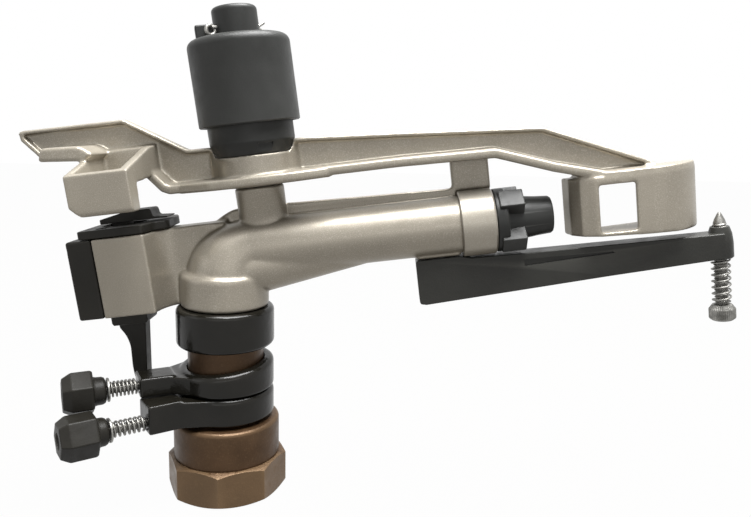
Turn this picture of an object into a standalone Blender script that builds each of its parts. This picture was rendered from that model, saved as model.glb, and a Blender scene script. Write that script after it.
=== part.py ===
# Large impact sprinkler (rain gun), modelled as an assembly of separate pieces.
# The swivel axis is world Z, the jet leaves towards +X and the front of the gun is -Y.
# All lengths are in metres. MM turns a length in millimetres into metres.
import math

import bmesh
import bpy
from mathutils import Matrix, Vector

MM = 0.001
GAP = 0.3 * MM

# Main directions and places
TRAJECTORY = math.radians(8.0)
PIVOT_S = 23.4 * MM

# Spindle tube, the first size of the swivel: the sleeve, the collar and the cup are drawn round it
SPINDLE_RADIUS = 16.5 * MM
SPINDLE_WALL = 2.9 * MM
SPINDLE_CLEARANCE = 0.5 * MM
FLANGE_THICKNESS = 2.0 * MM
WASHER_THICKNESS = 1.6 * MM
UPPER_WASHER_THICKNESS = 1.0 * MM
SEAL_RADIUS = 0.8 * MM
SEAL_GROOVE = 1.5 * MM

# Inlet body, with its octagon for a spanner
OCTAGON_FLATS = 60.0 * MM
OCTAGON_TURN = math.radians(4.5)
OCTAGON_HEIGHT = 20.0 * MM
OCTAGON_CHAMFER = 2.2 * MM
SHOULDER_RADIUS = 28.6 * MM
SHOULDER_TOP = OCTAGON_HEIGHT + 21.2 * MM
SLEEVE_BORE = SPINDLE_RADIUS + SPINDLE_CLEARANCE
SLEEVE_WALL = 3.3 * MM
SLEEVE_RADIUS = SLEEVE_BORE + SLEEVE_WALL
SLEEVE_HEIGHT = 52.8 * MM
SLEEVE_TOP = SHOULDER_TOP + SLEEVE_HEIGHT
SLEEVE_FOOT = SHOULDER_TOP - 5.2 * MM
INLET_BORE = SPINDLE_RADIUS - SPINDLE_WALL + 1.2 * MM
SOCKET_RADIUS = 22.4 * MM
SOCKET_CHAMFER = 2.1 * MM
SOCKET_DEPTH = OCTAGON_HEIGHT + 1.0 * MM

# Bearing collar, and the heights of the spindle in it
COLLAR_WALL = 5.9 * MM
COLLAR_RADIUS = SLEEVE_RADIUS + COLLAR_WALL
COLLAR_BOTTOM = SLEEVE_TOP - 11.7 * MM
COLLAR_TOP = SLEEVE_TOP + 9.5 * MM
COLLAR_LIP = 3.7 * MM
COLLAR_CHAMFER = 2.4 * MM
SPINDLE_BOTTOM = SLEEVE_TOP - 30.0 * MM
SPINDLE_TOP = SLEEVE_TOP + 19.0 * MM
SPINDLE_FLANGE_RADIUS = SLEEVE_RADIUS - 0.5 * MM
SEAL_Z = SPINDLE_BOTTOM + 8.0 * MM

# Head casting
BARREL_AXIS_Z = COLLAR_TOP + 29.4 * MM
CUP_WALL = 6.8 * MM
CUP_RADIUS = SPINDLE_RADIUS + CUP_WALL
CUP_BOTTOM = COLLAR_TOP + GAP
CUP_TOP = BARREL_AXIS_Z - 10.5 * MM
BEND_RADIUS = 22.0 * MM
ELBOW_RADIUS = CUP_RADIUS - 2.9 * MM
BARREL_RADIUS = 15.0 * MM
BARREL_END = 125.9 * MM
SPIGOT_RADIUS = BARREL_RADIUS - 0.4 * MM
SPIGOT_END = BARREL_END + 11.1 * MM
BORE_RADIUS = BARREL_RADIUS - 2.6 * MM
BORE_END_RADIUS = BORE_RADIUS - 1.0 * MM
POST_RADIUS = 12.8 * MM
POST_TOP = BARREL_RADIUS + 17.0 * MM
RIB_FRONT = 5.8 * MM
RIB_THICKNESS = 3.6 * MM
RIB_TOP_REAR = BARREL_RADIUS + 6.2 * MM
RIB_TOP_FRONT = BARREL_RADIUS + 3.9 * MM
RING_RADIUS = SPIGOT_RADIUS + 2.7 * MM
STOP_POST_START = BARREL_END - 1.6 * MM
STOP_POST_END = STOP_POST_START + 20.3 * MM
STOP_POST_BASE = RING_RADIUS + 1.1 * MM
STOP_POST_TOP = STOP_POST_BASE + 25.6 * MM
STOP_POST_FRONT = RIB_FRONT - 0.2 * MM
STOP_POST_BACK = STOP_POST_FRONT + 6.4 * MM

# Barrel ring and nozzle
RING_END = SPIGOT_END + 6.6 * MM
NOZZLE_SHANK_RADIUS = SPIGOT_RADIUS - 1.9 * MM
NOZZLE_FLANGE_RADIUS = RING_RADIUS - 0.8 * MM
NOZZLE_FLANGE_END = RING_END + 6.4 * MM
NOZZLE_LUG_END = NOZZLE_FLANGE_END + 8.4 * MM
NOZZLE_LUG_RADIUS = RING_RADIUS + 0.3 * MM
NOZZLE_LUG_WIDTH = 10.4 * MM
NOZZLE_BORE = 7.0 * MM
NOZZLE_TIP_RADIUS = NOZZLE_BORE + 2.1 * MM
NOZZLE_CONE_RADIUS = NOZZLE_TIP_RADIUS + 2.1 * MM
NOZZLE_TIP = NOZZLE_LUG_END + 15.2 * MM
GASKET_THICKNESS = 1.2 * MM

# Mechanism housing
HOUSING_LEFT = -61.8 * MM
HOUSING_RIGHT = HOUSING_LEFT + 26.2 * MM
HOUSING_HALF = 20.0 * MM
HOUSING_BOTTOM = -25.7 * MM
HOUSING_TOP = HOUSING_BOTTOM + 41.3 * MM
HOUSING_WALL = 3.2 * MM
HOUSING_SIDE_WALL = 4.6 * MM
BRACKET_FRONT = -4.0 * MM
BRACKET_BACK = BRACKET_FRONT + 13.0 * MM
BRACKET_END = -3.0 * MM
BRACKET_CURVE = 11.0 * MM
COVER_LEFT = HOUSING_LEFT - 13.4 * MM
COVER_WALL = 3.0 * MM
TOP_COVER_LEFT = HOUSING_LEFT - 6.7 * MM
TOP_COVER_RIGHT = HOUSING_RIGHT + 10.1 * MM
TOP_COVER_THICKNESS = 4.4 * MM
TOP_COVER_FRONT = -HOUSING_HALF + 0.4 * MM
TOP_COVER_BACK = HOUSING_HALF + 2.0 * MM
COVER_SCREW_RADIUS = 1.6 * MM
COVER_SCREW_HEAD = COVER_SCREW_RADIUS + 1.4 * MM
COVER_SCREW_HEAD_HEIGHT = 1.7 * MM
PIN_BOSS_RADIUS = 4.2 * MM

# Trip lever, reversing pawl, their pins and slots
TRIP_Y = 3.0 * MM
PAWL_Y = 2.0 * MM
TRIP_PIN_H = HOUSING_BOTTOM + 8.7 * MM
PAWL_PIN_H = HOUSING_TOP - 5.6 * MM
MECH_PIN_RADIUS = 2.0 * MM
EYE_LEFT = HOUSING_LEFT + 3.8 * MM
EYE_RIGHT = EYE_LEFT + 11.0 * MM
TRIP_EYE_RADIUS = MECH_PIN_RADIUS + 3.2 * MM
PAWL_EYE_RADIUS = MECH_PIN_RADIUS + 2.6 * MM
TRIP_FLANGE_TOP = HOUSING_BOTTOM - 2.7 * MM
TRIP_FLANGE_BOTTOM = TRIP_FLANGE_TOP - 5.2 * MM
TRIP_FLANGE_HALF = 8.0 * MM
FINGER_HALF = 4.0 * MM
PAWL_TOP = HOUSING_TOP + 11.5 * MM
PAWL_LIFT = 1.2 * MM
PAWL_HALF = 6.5 * MM
TRIP_CROWN = 12.0 * MM
PAWL_DEPTH = 9.0 * MM
LEVER_SLOT_HALF = TRIP_FLANGE_HALF
LEVER_SLOT_END = EYE_RIGHT + 2.0 * MM
PAWL_SLOT_END = EYE_RIGHT + 7.0 * MM
PAWL_SLOT_HALF = PAWL_HALF + 0.5 * MM
END_SCREWS = (
    (-HOUSING_HALF + 2.4 * MM, HOUSING_TOP - 4.6 * MM),
    (HOUSING_HALF - 2.4 * MM, HOUSING_BOTTOM + 6.7 * MM),
)
TOP_SCREWS = (
    (HOUSING_LEFT + 4.8 * MM, -HOUSING_HALF + 5.5 * MM),
    (HOUSING_LEFT + 4.8 * MM, HOUSING_HALF - 3.6 * MM),
)

# Drive arm, along the barrel direction and above it
PIVOT_RADIUS = 5.0 * MM
PIVOT_FOOT = POST_TOP - 14.4 * MM
PIVOT_WASHER = 1.2 * MM
RUNNING_CLEARANCE = 0.05 * MM
BUSH_RADIUS = PIVOT_RADIUS + 3.0 * MM
BUSH_COLLAR = BUSH_RADIUS + 3.0 * MM
BUSH_COLLAR_HEIGHT = 1.4 * MM
BUSH_LENGTH = 6.0 * MM
ARM_HUB_BOTTOM = POST_TOP + PIVOT_WASHER + 2 * GAP
ARM_HUB_HEIGHT = 14.4 * MM
ARM_HUB_TOP = ARM_HUB_BOTTOM + ARM_HUB_HEIGHT
ARM_HUB_RADIUS = 19.4 * MM
WEB_FRONT = 1.0 * MM
WEB_BACK = WEB_FRONT + 4.2 * MM
FLANGE_FRONT = WEB_FRONT - 13.0 * MM
TOP_FLANGE = 2.6 * MM
BOTTOM_FLANGE = 4.4 * MM
BOX_LEFT = -58.0 * MM
BOX_RIGHT = BOX_LEFT + 30.4 * MM
BOX_FRONT = -45.0 * MM

# Spring cup and spring cap
SPRING_CUP_RADIUS = 22.0 * MM
SPRING_CUP_TOP = ARM_HUB_TOP + 18.8 * MM
SPRING_CUP_FLOOR = 4.0 * MM
SPRING_CUP_WALL = 2.4 * MM
SPRING_RADIUS = 13.6 * MM
SPRING_WIRE = 1.1 * MM
CAP_WALL = 2.2 * MM
CAP_ROOF = 2.4 * MM
CAP_RADIUS = SPRING_CUP_RADIUS + 1.7 * MM + CAP_WALL
CAP_BOTTOM = SPRING_CUP_TOP - 3.0 * MM
CAP_TOP = CAP_BOTTOM + 43.6 * MM
CAP_HUB_RADIUS = 11.4 * MM
COTTER_RADIUS = 1.3 * MM
COTTER_H = CAP_TOP + 4.8 * MM
COTTER_TURN = math.radians(40.0)
PIVOT_TOP = COTTER_H + 6.1 * MM
CAP_HUB_TOP = PIVOT_TOP + 4.0 * MM

# Diffuser bar under the barrel
BAR_START = BARREL_END - 25.3 * MM
BAR_TOP = -RING_RADIUS - 1.6 * MM
BAR_HALF_WIDTH = 6.5 * MM
BAR_DEPTH = 21.3 * MM
BAR_SCREW_S = (BAR_START + 6.4 * MM, BAR_START + 18.0 * MM)
BAR_SCREW_RADIUS = 1.5 * MM
BAR_SCREW_TOP = BAR_TOP + 3.9 * MM
BAR_SCREW_SEAT = BAR_TOP - 17.1 * MM
PAD_END = BARREL_END - 1.3 * MM
PAD_TOP = -9.0 * MM
DIFFUSER_S = 264.4 * MM
DIFFUSER_SCREW_RADIUS = 3.9 * MM
DIFFUSER_BOSS_RADIUS = DIFFUSER_SCREW_RADIUS + 3.3 * MM
DIFFUSER_BOSS_TOP = BAR_TOP + 0.9 * MM
DIFFUSER_BOSS_BOTTOM = DIFFUSER_BOSS_TOP - 15.2 * MM
DIFFUSER_TIP = DIFFUSER_BOSS_TOP + 8.8 * MM
DIFFUSER_HEAD_TOP = DIFFUSER_BOSS_BOTTOM - 27.0 * MM
DIFFUSER_HEAD_BOTTOM = DIFFUSER_HEAD_TOP - 8.7 * MM
DIFFUSER_HEAD_RADIUS = DIFFUSER_SCREW_RADIUS + 3.1 * MM

# Deflector at the front of the arm, given along the barrel and across it
VANE = 3.0 * MM
VANE_CENTRE_S = 223.6 * MM
VANE_CENTRE_Y = 15.0 * MM
VANE_RADIUS = 29.6 * MM
SPOON_BOTTOM = -15.2 * MM
SPOON_TOP = 17.4 * MM
SPOON_END_TOP = SPOON_TOP + 3.0 * MM
SPOON_PLATE = 3.6 * MM
WINDOW_START = VANE_CENTRE_S - 24.2 * MM
WINDOW_END = VANE_CENTRE_S - 5.8 * MM
WINDOW_TOP = SPOON_TOP - 4.0 * MM

# Stop rings, with a clamp screw and a knob each
STOP_BORE = SLEEVE_RADIUS + GAP
STOP_WALL = 5.2 * MM
STOP_OUTER = STOP_BORE + STOP_WALL
RING_STEPS = 36
STOP_BLOCK_END = STOP_OUTER + 20.6 * MM
STOP_BLOCK_HALF = 8.0 * MM
STOP_SCREW_RADIUS = 2.5 * MM
STOP_SCREW_TIP = SLEEVE_RADIUS + 0.6 * MM
STOP_SPRING_RADIUS = STOP_SCREW_RADIUS + 1.2 * MM
STOP_WASHER_RADIUS = STOP_SCREW_RADIUS + 3.7 * MM
STOP_WASHER_THICKNESS = 1.1 * MM
KNOB_CORNER_RADIUS = 11.6 * MM
LOWER_STOP_BOTTOM = SHOULDER_TOP + 2.0 * MM
LOWER_STOP_TOP = LOWER_STOP_BOTTOM + 15.2 * MM
UPPER_STOP_BOTTOM = LOWER_STOP_TOP + 0.4 * MM
TRIP_TIP_Z = LOWER_STOP_TOP - 4.4 * MM
STOPS = {
    "lower": dict(turn=math.radians(36.4), offset=4.0 * MM, screw_z=LOWER_STOP_BOTTOM + 4.4 * MM,
                  bottom=LOWER_STOP_BOTTOM, band_top=LOWER_STOP_TOP, block_top=LOWER_STOP_TOP,
                  spring=16.5 * MM, hub=5.2 * MM, head=17.6 * MM, flat_up=False),
    "upper": dict(turn=math.radians(28.4), offset=-2.0 * MM, screw_z=UPPER_STOP_BOTTOM + 4.6 * MM,
                  bottom=UPPER_STOP_BOTTOM, band_top=UPPER_STOP_BOTTOM + 16.4 * MM,
                  block_top=UPPER_STOP_BOTTOM + 10.4 * MM,
                  spring=13.6 * MM, hub=6.0 * MM, head=14.6 * MM, flat_up=True),
}

MATERIALS = {
    "bronze_body": ((0.19, 0.10, 0.045), 0.75, 0.42),
    "silver_paint": ((0.55, 0.52, 0.46), 0.6, 0.38),
    "black_plastic": ((0.012, 0.012, 0.013), 0.0, 0.42),
    "black_satin_paint": ((0.02, 0.019, 0.018), 0.2, 0.35),
    "zinc_steel": ((0.60, 0.60, 0.58), 0.95, 0.30),
    "brass_tube": ((0.60, 0.43, 0.17), 0.9, 0.32),
    "seal_rubber": ((0.02, 0.02, 0.02), 0.0, 0.7),
}


def material(slot):
    mat = bpy.data.materials.get(slot)
    if mat is None:
        colour, metallic, roughness = MATERIALS[slot]
        mat = bpy.data.materials.new(slot)
        mat.use_nodes = True
        shader = mat.node_tree.nodes["Principled BSDF"]
        shader.inputs["Base Color"].default_value = (*colour, 1.0)
        shader.inputs["Metallic"].default_value = metallic
        shader.inputs["Roughness"].default_value = roughness
    return mat


def head_point(s, y, h):
    """A place given along the barrel, across it and above its axis."""
    return Vector((
        s * math.cos(TRAJECTORY) - h * math.sin(TRAJECTORY),
        y,
        BARREL_AXIS_Z + s * math.sin(TRAJECTORY) + h * math.cos(TRAJECTORY),
    ))


HEAD_TURN = Matrix.Rotation(-TRAJECTORY, 4, "Y")


def head_matrix(s, y, h):
    return Matrix.Translation(head_point(s, y, h)) @ HEAD_TURN


def to_head(x, z):
    """World x and z as a length along the barrel and a height above its axis."""
    dz = z - BARREL_AXIS_Z
    return (
        x * math.cos(TRAJECTORY) + dz * math.sin(TRAJECTORY),
        -x * math.sin(TRAJECTORY) + dz * math.cos(TRAJECTORY),
    )


def make(name, verts, faces, slot, place=None):
    mesh = bpy.data.meshes.new(name)
    mesh.from_pydata([tuple(v) for v in verts], [], faces)
    mesh.materials.append(material(slot))
    bm = bmesh.new()
    bm.from_mesh(mesh)
    bmesh.ops.recalc_face_normals(bm, faces=bm.faces)
    bm.to_mesh(mesh)
    bm.free()
    obj = bpy.data.objects.new(name, mesh)
    bpy.context.scene.collection.objects.link(obj)
    if place is not None:
        obj.matrix_world = place
    return obj


def skin(name, rings, slot, place=None, closed=False):
    """Joins rings of points of equal length; open ends are capped with a face."""
    count = len(rings[0])
    verts = [point for ring in rings for point in ring]
    faces = []
    last = len(rings) if closed else len(rings) - 1
    for i in range(last):
        a = i * count
        b = ((i + 1) % len(rings)) * count
        for j in range(count):
            k = (j + 1) % count
            faces.append((a + j, a + k, b + k, b + j))
    if not closed:
        faces.append(tuple(range(count)))
        faces.append(tuple(range((len(rings) - 1) * count, len(rings) * count)))
    return make(name, verts, faces, slot, place)


def circle(radius, z, steps, turn=0.0):
    return [
        (radius * math.cos(turn + 2 * math.pi * k / steps),
         radius * math.sin(turn + 2 * math.pi * k / steps), z)
        for k in range(steps)
    ]


def turned(name, profile, slot, steps=28, place=None, tube=False, turn=0.0):
    """A round piece: its profile is a list of radius and height, upwards on the outside.
    A tube's profile closes on itself; any other gets a flat face at each end."""
    return skin(name, [circle(r, z, steps, turn) for r, z in profile], slot, place, closed=tube)


def around(radius, steps):
    """The corner radius of a many-sided hole whose flat sides stay outside the given radius."""
    return radius / math.cos(math.pi / steps)


def hole(radius, low, high, steps=12, place=None):
    """A plain round cutter."""
    return turned("hole", [(around(radius, steps), low), (around(radius, steps), high)],
                  "zinc_steel", steps=steps, place=place)


def prism(name, outline, low, high, slot, place=None, plane="XZ"):
    """A plate with the given outline: across Y for plane XZ, upwards for plane XY,
    along X for plane YZ."""
    def point(a, b, c):
        if plane == "XZ":
            return (a, c, b)
        if plane == "XY":
            return (a, b, c)
        return (c, a, b)
    rings = [[point(a, b, c) for a, b in outline] for c in (low, high)]
    return skin(name, rings, slot, place)


def block(name, x, y, z, slot, place=None):
    outline = [(x[0], z[0]), (x[1], z[0]), (x[1], z[1]), (x[0], z[1])]
    return prism(name, outline, y[0], y[1], slot, place)


def arc(cx, cy, radius, start, end, steps):
    """Points on an arc, with angles in degrees."""
    return [
        (cx + radius * math.cos(math.radians(start + (end - start) * k / steps)),
         cy + radius * math.sin(math.radians(start + (end - start) * k / steps)))
        for k in range(steps + 1)
    ]


def bake(obj):
    """Turns the modifiers into mesh."""
    bpy.context.view_layer.update()
    graph = bpy.context.evaluated_depsgraph_get()
    mesh = bpy.data.meshes.new_from_object(obj.evaluated_get(graph))
    old = obj.data
    obj.modifiers.clear()
    obj.data = mesh
    bpy.data.meshes.remove(old)
    mesh.name = obj.name


def combine(obj, tool, operation):
    modifier = obj.modifiers.new(operation.lower(), "BOOLEAN")
    modifier.operation = operation
    modifier.solver = "EXACT"
    modifier.object = tool
    bake(obj)
    mesh = tool.data
    bpy.data.objects.remove(tool)
    bpy.data.meshes.remove(mesh)


def add(obj, *tools):
    for tool in tools:
        combine(obj, tool, "UNION")
    return obj


def cut(obj, *tools):
    for tool in tools:
        combine(obj, tool, "DIFFERENCE")
    return obj


def soften(obj, width, segments=2, angle=30.0):
    modifier = obj.modifiers.new("edge", "BEVEL")
    modifier.width = width
    modifier.segments = segments
    modifier.limit_method = "ANGLE"
    modifier.angle_limit = math.radians(angle)
    bake(obj)
    return obj


def finish(obj, slot, angle=32.0):
    """One material slot and smooth round surfaces."""
    mesh = obj.data
    for face in mesh.polygons:
        face.material_index = 0
        face.use_smooth = True
    mesh.materials.clear()
    mesh.materials.append(material(slot))
    mesh.set_sharp_from_angle(angle=math.radians(angle))
    return obj


def coil(name, radius, wire, low, high, turns, slot, place=None, per_turn=16, sides=6):
    """A round-wire coil spring along Z, from its lower to its upper face."""
    steps = int(turns * per_turn)
    rise = (high - low - 2 * wire) / steps
    rings = []
    for i in range(steps + 1):
        angle = 2 * math.pi * i / per_turn
        centre = Vector((radius * math.cos(angle), radius * math.sin(angle), low + wire + rise * i))
        out = Vector((math.cos(angle), math.sin(angle), 0.0))
        up = Vector((0.0, 0.0, 1.0))
        rings.append([
            centre + wire * (math.cos(a) * out + math.sin(a) * up)
            for a in (2 * math.pi * (k + 0.5) / sides for k in range(sides))
        ])
    return skin(name, rings, slot, place)


def axis_matrix(origin, direction, side):
    """Places a piece modelled along Z so that it runs along the direction; side becomes its X."""
    z = direction.normalized()
    x = (side - side.dot(z) * z).normalized()
    y = z.cross(x)
    turn = Matrix((x, y, z)).transposed().to_4x4()
    return Matrix.Translation(origin) @ turn


for old in list(bpy.data.objects):
    bpy.data.objects.remove(old)

ORIGIN = Matrix.Identity(4)
ALONG = HEAD_TURN @ Matrix.Rotation(math.pi / 2, 4, "Y")


def along_barrel(s, y, h):
    """For a piece modelled along Z that has to run along the barrel."""
    return Matrix.Translation(head_point(s, y, h)) @ ALONG


# Inlet body: octagon and round shoulder, with the socket for the riser in its foot. The sleeve
# stands in the shoulder's seat and carries the stop rings, the collar and the spindle
corner = around(OCTAGON_FLATS / 2, 8)
inlet = turned("inlet_body", [
    (corner - OCTAGON_CHAMFER, 0.0),
    (corner, OCTAGON_CHAMFER * 0.8),
    (corner, OCTAGON_HEIGHT - OCTAGON_CHAMFER * 0.8),
    (corner - OCTAGON_CHAMFER, OCTAGON_HEIGHT),
], "bronze_body", steps=8, turn=OCTAGON_TURN)
shoulder_steps = 40
shoulder = turned("shoulder", [
    (SHOULDER_RADIUS - 1.0 * MM, OCTAGON_HEIGHT - 2.0 * MM),
    (SHOULDER_RADIUS, OCTAGON_HEIGHT + 1.2 * MM),
    (SHOULDER_RADIUS, SHOULDER_TOP - 2.6 * MM),
    (SHOULDER_RADIUS - 0.8 * MM, SHOULDER_TOP - 0.9 * MM),
    (SHOULDER_RADIUS - 2.4 * MM, SHOULDER_TOP),
    (SLEEVE_RADIUS + 1.6 * MM, SHOULDER_TOP + 0.9 * MM),
], "bronze_body", steps=shoulder_steps)
add(inlet, shoulder)
sleeve_seat = around(SLEEVE_RADIUS + GAP, shoulder_steps)
socket = turned("socket", [
    (SOCKET_RADIUS + SOCKET_CHAMFER + 1.0 * MM, -1.0 * MM),
    (SOCKET_RADIUS, SOCKET_CHAMFER),
    (SOCKET_RADIUS, SOCKET_DEPTH),
    (INLET_BORE, SOCKET_DEPTH + 1.0 * MM),
    (INLET_BORE, SLEEVE_FOOT - GAP),
    (sleeve_seat, SLEEVE_FOOT - GAP),
    (sleeve_seat, SHOULDER_TOP + 3.0 * MM),
], "bronze_body", steps=shoulder_steps)
cut(inlet, socket)
finish(inlet, "bronze_body")

sleeve = turned("inlet_sleeve", [
    (INLET_BORE, SLEEVE_FOOT),
    (SLEEVE_RADIUS, SLEEVE_FOOT),
    (SLEEVE_RADIUS, SLEEVE_TOP - 0.6 * MM),
    (SLEEVE_RADIUS - 0.6 * MM, SLEEVE_TOP),
    (SLEEVE_BORE, SLEEVE_TOP),
    (SLEEVE_BORE, SPINDLE_BOTTOM - 1.0 * MM),
    (INLET_BORE, SPINDLE_BOTTOM - 3.0 * MM),
], "bronze_body", steps=40, tube=True)
finish(sleeve, "bronze_body")

# Bearing collar: the ring nut that holds the turning head down on the sleeve
collar_bore = SLEEVE_RADIUS + GAP
neck_hole = SPINDLE_RADIUS + 0.6 * MM
collar = turned("bearing_collar", [
    (collar_bore, COLLAR_BOTTOM),
    (COLLAR_RADIUS - COLLAR_CHAMFER, COLLAR_BOTTOM),
    (COLLAR_RADIUS - 0.5 * MM, COLLAR_BOTTOM + COLLAR_CHAMFER * 0.8),
    (COLLAR_RADIUS, COLLAR_BOTTOM + COLLAR_CHAMFER * 1.4),
    (COLLAR_RADIUS, COLLAR_TOP - COLLAR_CHAMFER * 1.2),
    (COLLAR_RADIUS - COLLAR_CHAMFER, COLLAR_TOP),
    (neck_hole, COLLAR_TOP),
    (neck_hole, COLLAR_TOP - COLLAR_LIP),
    (collar_bore, COLLAR_TOP - COLLAR_LIP),
], "black_satin_paint", steps=40, tube=True)
finish(collar, "black_satin_paint")

# Spindle tube: turns inside the sleeve and carries the head
lower_washer_bottom = SLEEVE_TOP + 0.1 * MM
flange_bottom = lower_washer_bottom + WASHER_THICKNESS + 0.1 * MM
flange_top = flange_bottom + FLANGE_THICKNESS
spindle_bore = SPINDLE_RADIUS - SPINDLE_WALL
spindle = turned("spindle_tube", [
    (spindle_bore, SPINDLE_BOTTOM),
    (SPINDLE_RADIUS - 0.8 * MM, SPINDLE_BOTTOM),
    (SPINDLE_RADIUS, SPINDLE_BOTTOM + 0.8 * MM),
    (SPINDLE_RADIUS, SEAL_Z - SEAL_GROOVE),
    (SPINDLE_RADIUS - SEAL_GROOVE, SEAL_Z - SEAL_GROOVE),
    (SPINDLE_RADIUS - SEAL_GROOVE, SEAL_Z + SEAL_GROOVE),
    (SPINDLE_RADIUS, SEAL_Z + SEAL_GROOVE),
    (SPINDLE_RADIUS, flange_bottom),
    (SPINDLE_FLANGE_RADIUS, flange_bottom),
    (SPINDLE_FLANGE_RADIUS, flange_top),
    (SPINDLE_RADIUS, flange_top),
    (SPINDLE_RADIUS, SPINDLE_TOP),
    (spindle_bore, SPINDLE_TOP),
], "brass_tube", tube=True)
finish(spindle, "brass_tube")

seal_centre = SPINDLE_RADIUS - SEAL_GROOVE + SEAL_RADIUS + 0.1 * MM
seal = turned("spindle_seal", [
    (seal_centre + SEAL_RADIUS * math.sin(a), SEAL_Z - SEAL_RADIUS * math.cos(a))
    for a in (2 * math.pi * k / 6 for k in range(6))
], "seal_rubber", steps=24, tube=True)
finish(seal, "seal_rubber", 60.0)

for name, bottom in (("thrust_washer_lower", lower_washer_bottom),
                     ("thrust_washer_upper", flange_top + 0.15 * MM)):
    thickness = WASHER_THICKNESS if name.endswith("lower") else UPPER_WASHER_THICKNESS
    washer = turned(name, [
        (SPINDLE_RADIUS + GAP, bottom),
        (SPINDLE_FLANGE_RADIUS, bottom),
        (SPINDLE_FLANGE_RADIUS, bottom + thickness),
        (SPINDLE_RADIUS + GAP, bottom + thickness),
    ], "black_plastic", tube=True)
    finish(washer, "black_plastic")

# Head casting: cup, elbow and barrel in one, with posts, rib and the bracket of the housing
head = turned("head_casting", [
    (CUP_RADIUS - 0.8 * MM, CUP_BOTTOM),
    (CUP_RADIUS, CUP_BOTTOM + 0.9 * MM),
    (CUP_RADIUS, CUP_TOP - 1.4 * MM),
    (CUP_RADIUS - 0.7 * MM, CUP_TOP - 0.3 * MM),
    (CUP_RADIUS - 2.2 * MM, CUP_TOP + 0.3 * MM),
    (ELBOW_RADIUS - 1.0 * MM, CUP_TOP + 1.0 * MM),
], "silver_paint", steps=36)


def bend_path(radius_at_foot, radius_at_barrel, start_z, end_s, steps, count):
    """Rings of a tube that rises along Z, bends and runs on along the barrel."""
    bend = math.pi / 2 - TRAJECTORY
    tangent = BEND_RADIUS * math.tan(bend / 2)
    foot = BARREL_AXIS_Z - tangent
    rings = []
    stations = [(0.0, Vector((0.0, 0.0, start_z)))]
    for k in range(steps + 1):
        a = bend * k / steps
        centre = Vector((BEND_RADIUS * (1 - math.cos(a)), 0.0, foot + BEND_RADIUS * math.sin(a)))
        stations.append((a, centre))
    stations.append((bend, head_point(end_s, 0.0, 0.0)))
    for a, centre in stations:
        part = min(max((a / bend - 0.3) / 0.7, 0.0), 1.0)
        ease = part * part * (3 - 2 * part)
        radius = radius_at_foot + (radius_at_barrel - radius_at_foot) * ease
        side = Vector((math.cos(a), 0.0, -math.sin(a)))
        rings.append([
            centre + radius * (math.cos(t) * side + math.sin(t) * Vector((0.0, 1.0, 0.0)))
            for t in (2 * math.pi * j / count for j in range(count))
        ])
    return rings


elbow_rings = bend_path(ELBOW_RADIUS, BARREL_RADIUS, CUP_BOTTOM + 4.2 * MM, BARREL_END, 8, 36)
elbow = skin("elbow", elbow_rings, "silver_paint")
add(head, elbow)

spigot = turned("spigot", [
    (SPIGOT_RADIUS, BARREL_END - 4.0 * MM),
    (SPIGOT_RADIUS, SPIGOT_END - 0.6 * MM),
    (SPIGOT_RADIUS - 0.6 * MM, SPIGOT_END),
], "silver_paint", place=along_barrel(0, 0, 0))
add(head, spigot)

# The web under the barrel is a cone that leaves the cup and runs out below the barrel
web_from = head_point(8.0 * MM, 0.0, -9.8 * MM)
web_to = head_point(76.0 * MM, 0.0, -7.0 * MM)
web = turned("web", [(16.4 * MM, 0.0), (8.0 * MM, (web_to - web_from).length)], "silver_paint", steps=20,
             place=axis_matrix(web_from, web_to - web_from, Vector((0, 1, 0))))
add(head, web)

post = turned("post", [
    (POST_RADIUS + 1.6 * MM, 8.0 * MM),
    (POST_RADIUS + 0.5 * MM, BARREL_RADIUS + 0.6 * MM),
    (POST_RADIUS, BARREL_RADIUS + 2.6 * MM),
    (POST_RADIUS, POST_TOP - 0.6 * MM),
    (POST_RADIUS - 0.6 * MM, POST_TOP),
], "silver_paint", steps=28, place=head_matrix(PIVOT_S, 0, 0))
add(head, post)

# The rib behind the barrel joins the pivot post to the stop post, which stands over the barrel ring
inset = 1.4 * MM
rib = prism("rib", [
    (-8.0 * MM, 8.0 * MM),
    (STOP_POST_START + inset, 8.0 * MM),
    (STOP_POST_START + inset, STOP_POST_BASE + inset),
    (STOP_POST_END - inset, STOP_POST_BASE + inset),
    (STOP_POST_END - inset, STOP_POST_BASE + 9.0 * MM),
    (STOP_POST_START + inset, STOP_POST_BASE + 9.0 * MM),
    (STOP_POST_START - 0.4 * MM, RIB_TOP_FRONT + 3.0 * MM),
    (STOP_POST_START - 4.0 * MM, RIB_TOP_FRONT),
    (PIVOT_S, RIB_TOP_REAR),
    (8.0 * MM, RIB_TOP_REAR),
    (1.8 * MM, RIB_TOP_REAR - 2.2 * MM),
    (-8.0 * MM, 13.0 * MM),
], RIB_FRONT, RIB_FRONT + RIB_THICKNESS, "silver_paint", head_matrix(0, 0, 0))
soften(rib, 0.7 * MM, 1)
add(head, rib)
stop_post = block("stop_post", (STOP_POST_START, STOP_POST_END), (STOP_POST_FRONT, STOP_POST_BACK),
                  (STOP_POST_BASE, STOP_POST_TOP), "silver_paint", head_matrix(0, 0, 0))
soften(stop_post, 1.1 * MM, 2)
add(head, stop_post)

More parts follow.
